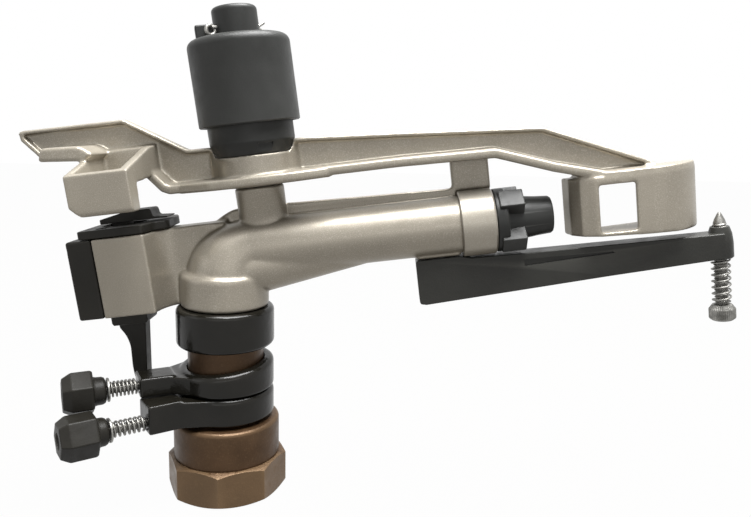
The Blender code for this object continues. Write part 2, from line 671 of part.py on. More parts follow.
# The bracket spreads with a hollow curve on each side to the flange that the housing sits on
flange_end = HOUSING_RIGHT + 1.0 * MM
bracket_start = HOUSING_RIGHT + BRACKET_CURVE
plan = [(HOUSING_RIGHT, HOUSING_HALF), (HOUSING_RIGHT, -HOUSING_HALF), (flange_end, -HOUSING_HALF)]
front_drop = BRACKET_FRONT + HOUSING_HALF - 1.0 * MM
back_drop = HOUSING_HALF - BRACKET_BACK - 1.0 * MM
curve_depth = bracket_start - flange_end
for k in range(6):
    a = math.pi / 2 * k / 5
    plan.append((bracket_start - curve_depth * math.cos(a),
                 -HOUSING_HALF + 1.0 * MM + front_drop * math.sin(a)))
plan += [(BRACKET_END, BRACKET_FRONT), (BRACKET_END, BRACKET_BACK)]
for k in range(6):
    a = math.pi / 2 * (5 - k) / 5
    plan.append((bracket_start - curve_depth * math.cos(a),
                 HOUSING_HALF - 1.0 * MM - back_drop * math.sin(a)))
plan.append((flange_end, HOUSING_HALF))
bracket = prism("bracket", plan, HOUSING_BOTTOM, HOUSING_TOP, "silver_paint", head_matrix(0, 0, 0),
                plane="XY")
add(head, bracket)

# The pad under the barrel, on which the diffuser bar is screwed
pad_half = BAR_HALF_WIDTH - 0.6 * MM
pad = block("pad", (BAR_START + 0.8 * MM, PAD_END), (-pad_half, pad_half),
            (BAR_TOP + GAP, PAD_TOP), "silver_paint", head_matrix(0, 0, 0))
soften(pad, 0.8 * MM, 1)
add(head, pad)

# Water way, spindle seat and screw holes
way_start = SPINDLE_TOP - 0.4 * MM
way_end = BARREL_END - 4.9 * MM
way_rings = bend_path(BORE_RADIUS + 1.0 * MM, BORE_RADIUS, way_start, way_end, 5, 20)
way = skin("way", way_rings, "silver_paint")
cut(head, way)
mouth = turned("mouth", [
    (BORE_RADIUS, way_end - 2.0 * MM),
    (BORE_END_RADIUS, way_end + 3.0 * MM),
    (BORE_END_RADIUS, SPIGOT_END + 1.0 * MM),
], "silver_paint", steps=20, place=along_barrel(0, 0, 0))
cut(head, mouth)
seat = turned("seat", [
    (SPINDLE_RADIUS + GAP, CUP_BOTTOM - 1.0 * MM), (SPINDLE_RADIUS + GAP, SPINDLE_TOP + GAP),
], "silver_paint", steps=28)
cut(head, seat)
pin_depth = HOUSING_RIGHT + 4.3 * MM
mechanism_pins = ((TRIP_Y, TRIP_PIN_H), (PAWL_Y, PAWL_PIN_H))
for pin_y, pin_h in mechanism_pins:
    cut(head, hole(MECH_PIN_RADIUS + 0.1 * MM, HOUSING_RIGHT - 1.0 * MM, pin_depth + 0.7 * MM,
                   place=along_barrel(0, pin_y, pin_h)))
cut(head, hole(PIVOT_RADIUS + RUNNING_CLEARANCE, PIVOT_FOOT - 0.6 * MM, POST_TOP + 1.0 * MM, 20,
               head_matrix(PIVOT_S, 0, 0)))
for s in BAR_SCREW_S:
    cut(head, hole(BAR_SCREW_RADIUS, BAR_TOP - 1.0 * MM, BAR_SCREW_TOP + 0.5 * MM, 10, head_matrix(s, 0, 0)))
finish(head, "silver_paint")

# Mechanism housing: a box on the bracket's flange, open towards its end cover
housing_wall = HOUSING_RIGHT - 2.4 * MM
housing = block("mechanism_housing", (HOUSING_LEFT, HOUSING_RIGHT - GAP), (-HOUSING_HALF, HOUSING_HALF),
                (HOUSING_BOTTOM, HOUSING_TOP), "silver_paint", head_matrix(0, 0, 0))
hollow = block("hollow", (HOUSING_LEFT - 1.0 * MM, housing_wall),
               (-HOUSING_HALF + HOUSING_SIDE_WALL, HOUSING_HALF - HOUSING_SIDE_WALL),
               (HOUSING_BOTTOM + HOUSING_WALL, HOUSING_TOP - HOUSING_WALL), "silver_paint",
               head_matrix(0, 0, 0))
cut(housing, hollow)
lever_slot = block("lever_slot", (HOUSING_LEFT - 1.0 * MM, LEVER_SLOT_END),
                   (TRIP_Y - LEVER_SLOT_HALF, TRIP_Y + LEVER_SLOT_HALF),
                   (HOUSING_BOTTOM - 1.0 * MM, HOUSING_BOTTOM + HOUSING_WALL + 1.0 * MM), "silver_paint",
                   head_matrix(0, 0, 0))
cut(housing, lever_slot)
pawl_slot = block("pawl_slot", (HOUSING_LEFT - 1.0 * MM, PAWL_SLOT_END),
                  (PAWL_Y - PAWL_SLOT_HALF, PAWL_Y + PAWL_SLOT_HALF),
                  (HOUSING_TOP - HOUSING_WALL - 1.0 * MM, HOUSING_TOP + 1.0 * MM), "silver_paint",
                  head_matrix(0, 0, 0))
cut(housing, pawl_slot)
for pin_y, pin_h in mechanism_pins:
    cut(housing, hole(MECH_PIN_RADIUS + 0.1 * MM, housing_wall - 1.0 * MM, HOUSING_RIGHT + 1.0 * MM,
                      place=along_barrel(0, pin_y, pin_h)))
for s, y in TOP_SCREWS:
    cut(housing, hole(COVER_SCREW_RADIUS, HOUSING_TOP - 8.0 * MM, HOUSING_TOP + 1.0 * MM, 10,
                      head_matrix(s, y, 0)))
end_screw_radius = COVER_SCREW_RADIUS - 0.4 * MM
for y, h in END_SCREWS:
    cut(housing, hole(end_screw_radius + 0.05 * MM, HOUSING_LEFT - 1.0 * MM, HOUSING_LEFT + 9.0 * MM,
                      place=along_barrel(0, y, h)))
finish(housing, "silver_paint")

# Barrel ring: screwed over the spigot; the nozzle screws into its front
ring = turned("barrel_ring", [
    (SPIGOT_RADIUS + GAP, BARREL_END + GAP),
    (RING_RADIUS - 0.5 * MM, BARREL_END + GAP),
    (RING_RADIUS, BARREL_END + GAP + 0.5 * MM),
    (RING_RADIUS, RING_END - 0.8 * MM),
    (RING_RADIUS - 0.7 * MM, RING_END),
    (NOZZLE_SHANK_RADIUS + GAP, RING_END),
    (NOZZLE_SHANK_RADIUS + GAP, SPIGOT_END + GAP),
    (SPIGOT_RADIUS + GAP, SPIGOT_END + GAP),
], "silver_paint", steps=32, tube=True, place=along_barrel(0, 0, 0))
finish(ring, "silver_paint")

shank_end = SPIGOT_END + 2 * GAP + GASKET_THICKNESS
gasket = turned("nozzle_gasket", [
    (BORE_END_RADIUS, SPIGOT_END + GAP * 0.5), (NOZZLE_SHANK_RADIUS, SPIGOT_END + GAP * 0.5),
    (NOZZLE_SHANK_RADIUS, SPIGOT_END + GAP * 0.5 + GASKET_THICKNESS),
    (BORE_END_RADIUS, SPIGOT_END + GAP * 0.5 + GASKET_THICKNESS),
], "seal_rubber", steps=20, tube=True, place=along_barrel(0, 0, 0))
finish(gasket, "seal_rubber")

# Main nozzle: shank, flange with four lugs and a tapered tip
nozzle = turned("main_nozzle", [
    (NOZZLE_SHANK_RADIUS - 0.5 * MM, shank_end),
    (NOZZLE_SHANK_RADIUS, shank_end + 0.5 * MM),
    (NOZZLE_SHANK_RADIUS, RING_END + GAP),
    (NOZZLE_FLANGE_RADIUS - 0.4 * MM, RING_END + GAP),
    (NOZZLE_FLANGE_RADIUS, RING_END + GAP + 0.4 * MM),
    (NOZZLE_FLANGE_RADIUS, NOZZLE_FLANGE_END - 0.6 * MM),
    (NOZZLE_FLANGE_RADIUS - 0.6 * MM, NOZZLE_FLANGE_END),
    (NOZZLE_CONE_RADIUS + 1.0 * MM, NOZZLE_FLANGE_END),
    (NOZZLE_CONE_RADIUS, NOZZLE_LUG_END),
    (NOZZLE_TIP_RADIUS + 0.5 * MM, NOZZLE_TIP - 0.6 * MM),
    (NOZZLE_TIP_RADIUS, NOZZLE_TIP),
], "black_plastic", place=along_barrel(0, 0, 0))
for k in range(4):
    lug = prism("lug", [
        (6.0 * MM, NOZZLE_FLANGE_END - 4.0 * MM),
        (NOZZLE_LUG_RADIUS, NOZZLE_FLANGE_END - 4.0 * MM),
        (NOZZLE_LUG_RADIUS, NOZZLE_LUG_END - 0.8 * MM),
        (NOZZLE_LUG_RADIUS - 0.8 * MM, NOZZLE_LUG_END),
        (6.0 * MM, NOZZLE_LUG_END),
    ], -NOZZLE_LUG_WIDTH / 2, NOZZLE_LUG_WIDTH / 2, "black_plastic",
        along_barrel(0, 0, 0) @ Matrix.Rotation(k * math.pi / 2 + math.radians(2), 4, "Z"))
    add(nozzle, lug)
nozzle_way = turned("nozzle_way", [
    (BORE_END_RADIUS, shank_end - 1.0 * MM),
    (BORE_END_RADIUS, NOZZLE_FLANGE_END - 8.0 * MM),
    (NOZZLE_BORE, NOZZLE_TIP - 6.0 * MM),
    (NOZZLE_BORE, NOZZLE_TIP + 1.0 * MM),
], "black_plastic", steps=20, place=along_barrel(0, 0, 0))
cut(nozzle, nozzle_way)
finish(nozzle, "black_plastic")

# End cover: the black cap on the outer end of the housing
end_cover = block("end_cover", (COVER_LEFT, HOUSING_LEFT - GAP), (-HOUSING_HALF, HOUSING_HALF),
                  (HOUSING_BOTTOM, HOUSING_TOP), "black_plastic", head_matrix(0, 0, 0))
soften(end_cover, 0.9 * MM, 2)
cover_half = HOUSING_HALF - COVER_WALL - 3.0 * MM
cover_hollow = block("cover_hollow", (COVER_LEFT + COVER_WALL, HOUSING_LEFT + 1.0 * MM),
                     (-cover_half, cover_half),
                     (HOUSING_BOTTOM + COVER_WALL, HOUSING_TOP - COVER_WALL), "black_plastic",
                     head_matrix(0, 0, 0))
cut(end_cover, cover_hollow)
cover_notch = block("cover_notch", (COVER_LEFT + COVER_WALL + 0.4 * MM, HOUSING_LEFT + 2.0 * MM),
                    (TRIP_Y - LEVER_SLOT_HALF, TRIP_Y + LEVER_SLOT_HALF),
                    (HOUSING_BOTTOM - 1.0 * MM, HOUSING_BOTTOM + COVER_WALL + 1.0 * MM), "black_plastic",
                    head_matrix(0, 0, 0))
cut(end_cover, cover_notch)
for pin_y, pin_h in ((TRIP_Y, TRIP_PIN_H), (PAWL_Y, PAWL_PIN_H)):
    pin_boss = turned("pin_boss", [
        (PIN_BOSS_RADIUS, COVER_LEFT + 1.0 * MM), (PIN_BOSS_RADIUS, HOUSING_LEFT - 1.0 * MM),
    ], "black_plastic", steps=16, place=along_barrel(0, pin_y, pin_h))
    add(end_cover, pin_boss)
    cut(end_cover, hole(MECH_PIN_RADIUS + RUNNING_CLEARANCE, COVER_LEFT + COVER_WALL, HOUSING_LEFT, 16,
                        along_barrel(0, pin_y, pin_h)))
for y, h in END_SCREWS:
    counterbore = turned("counterbore", [
        (COVER_SCREW_HEAD + 0.2 * MM, COVER_LEFT - 1.0 * MM),
        (COVER_SCREW_HEAD + 0.2 * MM, COVER_LEFT + COVER_SCREW_HEAD_HEIGHT + GAP),
        (COVER_SCREW_RADIUS + 0.1 * MM, COVER_LEFT + COVER_SCREW_HEAD_HEIGHT + GAP),
        (COVER_SCREW_RADIUS + 0.1 * MM, HOUSING_LEFT + 1.0 * MM),
    ], "black_plastic", steps=16, place=along_barrel(0, y, h))
    cut(end_cover, counterbore)
finish(end_cover, "black_plastic")


def small_screw(name, place, length, shank, head_radius, head_height):
    """A pan-head screw with a straight slot; its head's seat is at the origin, the shank runs to -Z."""
    body = turned(name, [
        (shank * 0.5, -length),
        (shank, -length + shank * 0.8),
        (shank, 0.0),
        (head_radius, 0.0),
        (head_radius, head_height * 0.5),
        (head_radius * 0.75, head_height),
    ], "zinc_steel", steps=12, place=place)
    slot_cut = block("slot_cut", (-head_radius * 1.2, head_radius * 1.2), (-0.4 * MM, 0.4 * MM),
                     (head_height * 0.45, head_height * 1.3), "zinc_steel", place)
    cut(body, slot_cut)
    return finish(body, "zinc_steel")


outwards = head_point(-1, 0, 0) - head_point(0, 0, 0)
for k, (y, h) in enumerate(END_SCREWS):
    seat_at = head_point(COVER_LEFT + COVER_SCREW_HEAD_HEIGHT + 0.2 * MM, y, h)
    small_screw(f"end_cover_screw_{k + 1}", axis_matrix(seat_at, outwards, Vector((0, 1, 0))),
                18.0 * MM, end_screw_radius, COVER_SCREW_HEAD, COVER_SCREW_HEAD_HEIGHT)

# Top cover: the black lid over the housing, open in the middle for the pawl
cover_bottom = HOUSING_TOP + GAP
cover_top = cover_bottom + TOP_COVER_THICKNESS
top_cover = prism("top_cover", [
    (TOP_COVER_LEFT, TOP_COVER_FRONT),
    (HOUSING_RIGHT + 0.6 * MM, TOP_COVER_FRONT),
    (HOUSING_RIGHT + 3.0 * MM, BRACKET_FRONT - 6.0 * MM),
    (TOP_COVER_RIGHT, BRACKET_FRONT - 1.4 * MM),
    (TOP_COVER_RIGHT, BRACKET_BACK + 4.0 * MM),
    (TOP_COVER_RIGHT - 3.0 * MM, TOP_COVER_BACK),
    (TOP_COVER_LEFT, TOP_COVER_BACK),
], cover_bottom, cover_top, "black_plastic", head_matrix(0, 0, 0), plane="XY")
soften(top_cover, 0.6 * MM, 1)
cover_slot = block("cover_slot", (HOUSING_LEFT - 0.2 * MM, PAWL_SLOT_END),
                   (PAWL_Y - PAWL_SLOT_HALF, PAWL_Y + PAWL_SLOT_HALF),
                   (cover_bottom - 1.0 * MM, cover_top + 1.0 * MM), "black_plastic", head_matrix(0, 0, 0))
cut(top_cover, cover_slot)
for s, y in TOP_SCREWS:
    cut(top_cover, hole(COVER_SCREW_RADIUS + 0.1 * MM, cover_bottom - 1.0 * MM, cover_top + 1.0 * MM, 16,
                        head_matrix(s, y, 0)))
finish(top_cover, "black_plastic")
for k, (s, y) in enumerate(TOP_SCREWS):
    small_screw(f"top_cover_screw_{k + 1}", head_matrix(s, y, cover_top + 0.1 * MM),
                11.0 * MM, COVER_SCREW_RADIUS - 0.1 * MM, COVER_SCREW_HEAD, COVER_SCREW_HEAD_HEIGHT)

# Trip lever: rocks on its pin inside the housing; the finger reaches down to the stops
trip_place = head_matrix(0, TRIP_Y, TRIP_PIN_H)


def trip_xz(x, z):
    s, h = to_head(x, z)
    return (s, h - TRIP_PIN_H)


trip = prism("trip_lever", [
    (EYE_LEFT - 7.4 * MM, TRIP_FLANGE_BOTTOM - TRIP_PIN_H + 1.4 * MM),
    (EYE_LEFT - 6.6 * MM, TRIP_FLANGE_BOTTOM - TRIP_PIN_H),
    (EYE_RIGHT + 3.8 * MM, TRIP_FLANGE_BOTTOM - TRIP_PIN_H),
    (EYE_RIGHT + 4.8 * MM, TRIP_FLANGE_BOTTOM - TRIP_PIN_H + 1.0 * MM),
    (EYE_RIGHT + 4.8 * MM, TRIP_FLANGE_TOP - TRIP_PIN_H),
    (EYE_LEFT - 7.4 * MM, TRIP_FLANGE_TOP - TRIP_PIN_H),
], -TRIP_FLANGE_HALF, TRIP_FLANGE_HALF, "black_plastic", trip_place)
finger = prism("finger", [
    trip_xz(EYE_RIGHT + 3.4 * MM, BARREL_AXIS_Z - 36.9 * MM),
    trip_xz(EYE_LEFT - 0.6 * MM, BARREL_AXIS_Z - 40.9 * MM),
    trip_xz(EYE_LEFT + 0.4 * MM, BARREL_AXIS_Z - 44.5 * MM),
    trip_xz(EYE_LEFT + 5.6 * MM, BARREL_AXIS_Z - 50.9 * MM),
    trip_xz(EYE_LEFT + 6.8 * MM, TRIP_TIP_Z + 8.6 * MM),
    trip_xz(EYE_LEFT + 9.8 * MM, TRIP_TIP_Z + 1.0 * MM),
    trip_xz(EYE_LEFT + 10.8 * MM, TRIP_TIP_Z),
    trip_xz(EYE_RIGHT + 3.0 * MM, TRIP_TIP_Z),
    trip_xz(EYE_RIGHT + 3.6 * MM, TRIP_TIP_Z + 1.0 * MM),
], -FINGER_HALF, FINGER_HALF, "black_plastic", trip_place)
neck = block("neck", (EYE_LEFT + 0.6 * MM, EYE_RIGHT - 0.6 * MM), (-3.4 * MM, 3.4 * MM),
             (TRIP_FLANGE_TOP - TRIP_PIN_H - 1.0 * MM, TRIP_CROWN), "black_plastic", trip_place)
eye = turned("eye", [(TRIP_EYE_RADIUS, EYE_LEFT), (TRIP_EYE_RADIUS, EYE_RIGHT)], "black_plastic", steps=24,
             place=along_barrel(0, TRIP_Y, TRIP_PIN_H))
add(trip, finger, neck, eye)
cut(trip, hole(MECH_PIN_RADIUS + RUNNING_CLEARANCE, EYE_LEFT - 1.0 * MM, EYE_RIGHT + 1.0 * MM, 24,
               along_barrel(0, TRIP_Y, TRIP_PIN_H)))
finish(trip, "black_plastic")

# Reversing pawl: rocks on top of the housing, driven by the trip lever through a spring
pawl_place = head_matrix(0, PAWL_Y, PAWL_PIN_H)
pawl_foot = cover_top + PAWL_LIFT - PAWL_PIN_H
pawl_top = PAWL_TOP - PAWL_PIN_H
pawl = prism("reversing_pawl", [
    (EYE_LEFT - 4.0 * MM, pawl_foot),
    (EYE_RIGHT + 21.0 * MM, pawl_foot),
    (EYE_RIGHT + 21.0 * MM, pawl_foot + 0.7 * MM),
    (EYE_RIGHT + 13.4 * MM, pawl_foot + 1.2 * MM),
    (EYE_RIGHT + 12.6 * MM, pawl_top),
    (EYE_RIGHT + 0.4 * MM, pawl_top),
    (EYE_LEFT - 4.0 * MM, pawl_foot + 2.4 * MM),
], -PAWL_HALF, PAWL_HALF, "black_plastic", pawl_place)
soften(pawl, 0.5 * MM, 1)
pawl_neck = block("pawl_neck", (EYE_LEFT + 0.6 * MM, EYE_RIGHT - 0.6 * MM), (-3.0 * MM, 3.0 * MM),
                  (-PAWL_DEPTH, pawl_foot + 1.0 * MM), "black_plastic", pawl_place)
pawl_eye = turned("pawl_eye", [(PAWL_EYE_RADIUS, EYE_LEFT), (PAWL_EYE_RADIUS, EYE_RIGHT)], "black_plastic",
                  steps=24, place=along_barrel(0, PAWL_Y, PAWL_PIN_H))
add(pawl, pawl_neck, pawl_eye)
cut(pawl, hole(MECH_PIN_RADIUS + RUNNING_CLEARANCE, EYE_LEFT - 1.0 * MM, EYE_RIGHT + 1.0 * MM, 24,
               along_barrel(0, PAWL_Y, PAWL_PIN_H)))
finish(pawl, "black_plastic")

for name, y, h in (("trip_pin", TRIP_Y, TRIP_PIN_H), ("pawl_pin", PAWL_Y, PAWL_PIN_H)):
    pin = turned(name, [
        (MECH_PIN_RADIUS - 0.3 * MM, COVER_LEFT + COVER_WALL + GAP),
        (MECH_PIN_RADIUS, COVER_LEFT + COVER_WALL + 2 * GAP),
        (MECH_PIN_RADIUS, pin_depth - 0.3 * MM),
        (MECH_PIN_RADIUS - 0.3 * MM, pin_depth),
    ], "zinc_steel", steps=20, place=along_barrel(0, y, h))
    finish(pin, "zinc_steel")

toggle_low = TRIP_PIN_H + TRIP_CROWN + GAP
toggle_high = PAWL_PIN_H - PAWL_DEPTH - GAP
toggle = coil("toggle_spring", 2.6 * MM, 0.45 * MM, toggle_low, toggle_high, 3.5, "zinc_steel",
              head_matrix((EYE_LEFT + EYE_RIGHT) / 2, (TRIP_Y + PAWL_Y) / 2, 0), per_turn=9, sides=4)
finish(toggle, "zinc_steel", 60.0)

# Drive arm: a channel beam that opens to the front, with hub, weight box and deflector
arm_place = head_matrix(PIVOT_S, 0, 0)


def at(s, h):
    """A point of the arm, in millimetres along the barrel and above its axis, in the arm's own frame."""
    return (s * MM - PIVOT_S, h * MM)


top_line = [at(*p) for p in (
    (-90.6, 74.4), (-38.6, 73.9), (-9.6, 54.9), (0.4, 54.6), (46.4, 54.4), (52.0, 54.3),
    (99.6, 51.2), (172.0, 45.9), (228.6, 21.9),
)]
bottom_line = [at(*p) for p in (
    (184.0, 18.4), (143.6, 33.4), (98.0, 33.9), (-20.6, 33.4), (-24.6, 35.2), (-31.4, 43.6),
    (-39.0, 52.0), (-52.0, 54.6), (-86.4, 57.4), (-94.2, 68.8), (-94.2, 71.6),
)]
end_line = [at(*p) for p in ((227.4, 13.6), (200.0, 13.6))]


def shifted(points, distance):
    """The line moved sideways, to the right of its own direction."""
    moved = []
    for i, (x, z) in enumerate(points):
        before = points[max(i - 1, 0)]
        after = points[min(i + 1, len(points) - 1)]
        into = Vector((x - before[0], z - before[1]))
        out_of = Vector((after[0] - x, after[1] - z))
        if i == 0:
            into = out_of
        if i == len(points) - 1:
            out_of = into
        side_in = Vector((into.y, -into.x)).normalized()
        side_out = Vector((out_of.y, -out_of.x)).normalized()
        middle = (side_in + side_out).normalized()
        reach = distance / max(middle.dot(side_in), 0.5)
        moved.append((x + middle.x * reach, z + middle.y * reach))
    return moved


def strip(name, points, thickness, front, back):
    """A flange: a strip along the right-hand side of the line."""
    return prism(name, points + shifted(points, thickness)[::-1], front, back, "silver_paint", arm_place)


WEB_INSET = 1.0 * MM
web_top = shifted(top_line, WEB_INSET)
web_top[0] = (web_top[0][0] + WEB_INSET, web_top[0][1])
web_top[-1] = (web_top[-1][0] - WEB_INSET, web_top[-1][1])
web_outline = web_top + end_line + shifted(bottom_line, WEB_INSET)
arm = prism("drive_arm", web_outline, WEB_FRONT, WEB_BACK, "silver_paint", arm_place)
add(arm, soften(strip("top_flange", top_line, TOP_FLANGE, FLANGE_FRONT, WEB_BACK - 0.2 * MM), 0.7 * MM, 1))
add(arm, soften(strip("bottom_flange", bottom_line[:6], BOTTOM_FLANGE, FLANGE_FRONT - 0.6 * MM,
                      WEB_BACK - 0.2 * MM), 1.2 * MM, 2))
hub_shape = turned("hub", [
    (ARM_HUB_RADIUS - 0.8 * MM, ARM_HUB_BOTTOM),
    (ARM_HUB_RADIUS, ARM_HUB_BOTTOM + 0.8 * MM),
    (ARM_HUB_RADIUS, ARM_HUB_TOP),
    (ARM_HUB_RADIUS, 54.0 * MM),
], "silver_paint", steps=32, place=arm_place)
add(arm, hub_shape)
cut(arm, turned("hub_recess", [
    (SPRING_CUP_RADIUS + GAP, ARM_HUB_TOP), (SPRING_CUP_RADIUS + GAP, 60.0 * MM),
], "silver_paint", steps=32, place=arm_place))

# Lip of the left plate and the weight box with its thick front
lip = prism("lip", [at(*p) for p in (
    (-84.0, 57.2), (-56.0, 54.9), (-50.4, 57.6), (-57.0, 62.6), (-80.0, 63.6),
)], -24.0 * MM, WEB_FRONT + 1.0 * MM, "silver_paint", arm_place)
soften(lip, 1.0 * MM, 2)
box_back = WEB_FRONT + 1.6 * MM
side = [
    (box_back, 59.6 * MM), (-10.0 * MM, 58.4 * MM), (BOX_FRONT, 49.0 * MM),
    (BOX_FRONT, 30.2 * MM), (BOX_FRONT + 1.4 * MM, 29.0 * MM),
    (BOX_FRONT + 9.4 * MM, 29.0 * MM), (BOX_FRONT + 10.4 * MM, 30.0 * MM),
    (BOX_FRONT + 10.6 * MM, 42.0 * MM), (box_back, 44.6 * MM),
]
weight = prism("weight", side, BOX_LEFT - PIVOT_S, BOX_RIGHT - PIVOT_S, "silver_paint", arm_place, plane="YZ")
soften(weight, 1.2 * MM, 2, 40.0)
pocket = prism("pocket", [
    (-4.0 * MM, 62.0 * MM), (BOX_FRONT + 3.4 * MM, 62.0 * MM), (BOX_FRONT + 3.4 * MM, 46.6 * MM),
    (-4.0 * MM, 47.6 * MM),
], BOX_LEFT - PIVOT_S + 2.8 * MM, BOX_RIGHT - PIVOT_S - 3.2 * MM, "silver_paint", arm_place, plane="YZ")
cut(weight, pocket)
add(arm, lip, weight)

# Deflector: a splitter wall, a window and a curved vane between two plates
vane_centre = (VANE_CENTRE_S - PIVOT_S, VANE_CENTRE_Y)
outer = [at(*p) for p in (
    (181.6, 6.0), (183.0, -4.0), (187.4, -10.6), (194.0, -13.6), (214.0, -14.6), (222.0, -14.6),
)]
outer += arc(*vane_centre, VANE_RADIUS, -80, 0, 8)
inner = []
for i, (x, y) in enumerate(outer):
    before = Vector(outer[max(i - 1, 0)])
    after = Vector(outer[min(i + 1, len(outer) - 1)])
    along = (after - before).normalized()
    inner.append((x - along.y * VANE, y + along.x * VANE))
spoon_wall = prism("spoon_wall", outer + inner[::-1], SPOON_BOTTOM, SPOON_TOP - 0.4 * MM, "silver_paint",
                   arm_place, plane="XY")
floor_plate = prism("floor_plate", outer, SPOON_BOTTOM, SPOON_BOTTOM + SPOON_PLATE, "silver_paint",
                    arm_place, plane="XY")
roof_plate = prism("roof_plate", outer, WINDOW_TOP, SPOON_TOP, "silver_paint", arm_place, plane="XY")
roof_corner = at(224.0, -14.6)
roof_back = at(250.6, 5.0)
roof_outline = [roof_corner] + arc(*vane_centre, VANE_RADIUS, -80, -24, 5)
roof_outline += [roof_back, (roof_corner[0], roof_back[1])]
roof_end = prism("roof_end", roof_outline, WINDOW_TOP + 1.6 * MM, SPOON_END_TOP, "silver_paint", arm_place,
                 plane="XY")
add(spoon_wall, floor_plate, roof_plate, roof_end)
window = block("window", (WINDOW_START - PIVOT_S, WINDOW_END - PIVOT_S), (-22.0 * MM, -9.0 * MM),
               (SPOON_BOTTOM + SPOON_PLATE, WINDOW_TOP), "silver_paint", arm_place)
cut(spoon_wall, window)
add(arm, spoon_wall)
cut(arm, hole(BUSH_RADIUS + 0.06 * MM, ARM_HUB_BOTTOM - 1.0 * MM, ARM_HUB_TOP + 12.0 * MM, 20, arm_place))
seat_depth = BUSH_COLLAR_HEIGHT + 0.1 * MM
for low, high in ((ARM_HUB_BOTTOM - 1.0 * MM, ARM_HUB_BOTTOM + seat_depth),
                  (ARM_HUB_TOP - seat_depth, ARM_HUB_TOP + 1.0 * MM)):
    cut(arm, hole(BUSH_COLLAR + 0.1 * MM, low, high, 20, arm_place))
finish(arm, "silver_paint")

# Bushings in the hub, each with a collar
bush_bore = around(PIVOT_RADIUS + RUNNING_CLEARANCE, 20)
for name, outer_face, inwards in (
    ("arm_bushing_lower", ARM_HUB_BOTTOM, 1),
    ("arm_bushing_upper", ARM_HUB_TOP, -1),
):
    collar_end = outer_face + inwards * BUSH_COLLAR_HEIGHT
    inner_end = outer_face + inwards * BUSH_LENGTH
    bush = turned(name, [
        (bush_bore, outer_face), (BUSH_COLLAR, outer_face), (BUSH_COLLAR, collar_end),
        (BUSH_RADIUS, collar_end), (BUSH_RADIUS, inner_end), (bush_bore, inner_end),
    ], "brass_tube", steps=20, tube=True, place=arm_place)
    finish(bush, "brass_tube")

pin_washer = turned("pivot_washer", [
    (PIVOT_RADIUS + GAP, POST_TOP + GAP), (BUSH_COLLAR, POST_TOP + GAP),
    (BUSH_COLLAR, POST_TOP + GAP + PIVOT_WASHER), (PIVOT_RADIUS + GAP, POST_TOP + GAP + PIVOT_WASHER),
], "zinc_steel", steps=20, tube=True, place=arm_place)
finish(pin_washer, "zinc_steel")

# Pivot pin, with a cross hole for the cotter near its top
pivot = turned("pivot_pin", [
    (PIVOT_RADIUS - 0.6 * MM, PIVOT_FOOT), (PIVOT_RADIUS, PIVOT_FOOT + 0.6 * MM),
    (PIVOT_RADIUS, PIVOT_TOP - 0.8 * MM), (PIVOT_RADIUS - 0.8 * MM, PIVOT_TOP),
], "zinc_steel", steps=20, place=arm_place)
cotter_dir = (HEAD_TURN @ Vector((math.cos(COTTER_TURN), math.sin(COTTER_TURN), 0.0, 0.0))).to_3d()
cotter_place = axis_matrix(head_point(PIVOT_S, 0, COTTER_H), cotter_dir,
                           (HEAD_TURN @ Vector((0, 0, 1, 0))).to_3d())
cotter_hole = COTTER_RADIUS + GAP
cut(pivot, hole(cotter_hole, -PIVOT_RADIUS - 3.0 * MM, PIVOT_RADIUS + 3.0 * MM, place=cotter_place))
finish(pivot, "zinc_steel")

# Spring cup: turns with the arm and holds the lower end of the spring
cup = turned("spring_cup", [
    (SPRING_CUP_RADIUS - 3.4 * MM, ARM_HUB_TOP + GAP),
    (SPRING_CUP_RADIUS - 2.6 * MM, ARM_HUB_TOP + GAP + 0.6 * MM),
    (SPRING_CUP_RADIUS, ARM_HUB_TOP + 6.8 * MM),
    (SPRING_CUP_RADIUS, SPRING_CUP_TOP - 0.6 * MM),
    (SPRING_CUP_RADIUS - 0.6 * MM, SPRING_CUP_TOP),
], "black_plastic", place=arm_place)
cut(cup, turned("cup_hollow", [
    (PIVOT_RADIUS + 0.5 * MM, ARM_HUB_TOP - 1.0 * MM),
    (PIVOT_RADIUS + 0.5 * MM, ARM_HUB_TOP + SPRING_CUP_FLOOR),
    (SPRING_CUP_RADIUS - SPRING_CUP_WALL, ARM_HUB_TOP + SPRING_CUP_FLOOR),
    (SPRING_CUP_RADIUS - SPRING_CUP_WALL, SPRING_CUP_TOP + 1.0 * MM),
], "black_plastic", place=arm_place))
for turn_deg in (-50.0, 70.0, 190.0):
    notch = block("notch", (14.0 * MM, 26.0 * MM), (-4.4 * MM, 4.4 * MM),
                  (ARM_HUB_TOP - 1.0 * MM, ARM_HUB_TOP + 3.2 * MM), "black_plastic",
                  arm_place @ Matrix.Rotation(math.radians(turn_deg), 4, "Z"))
    cut(cup, notch)
finish(cup, "black_plastic")

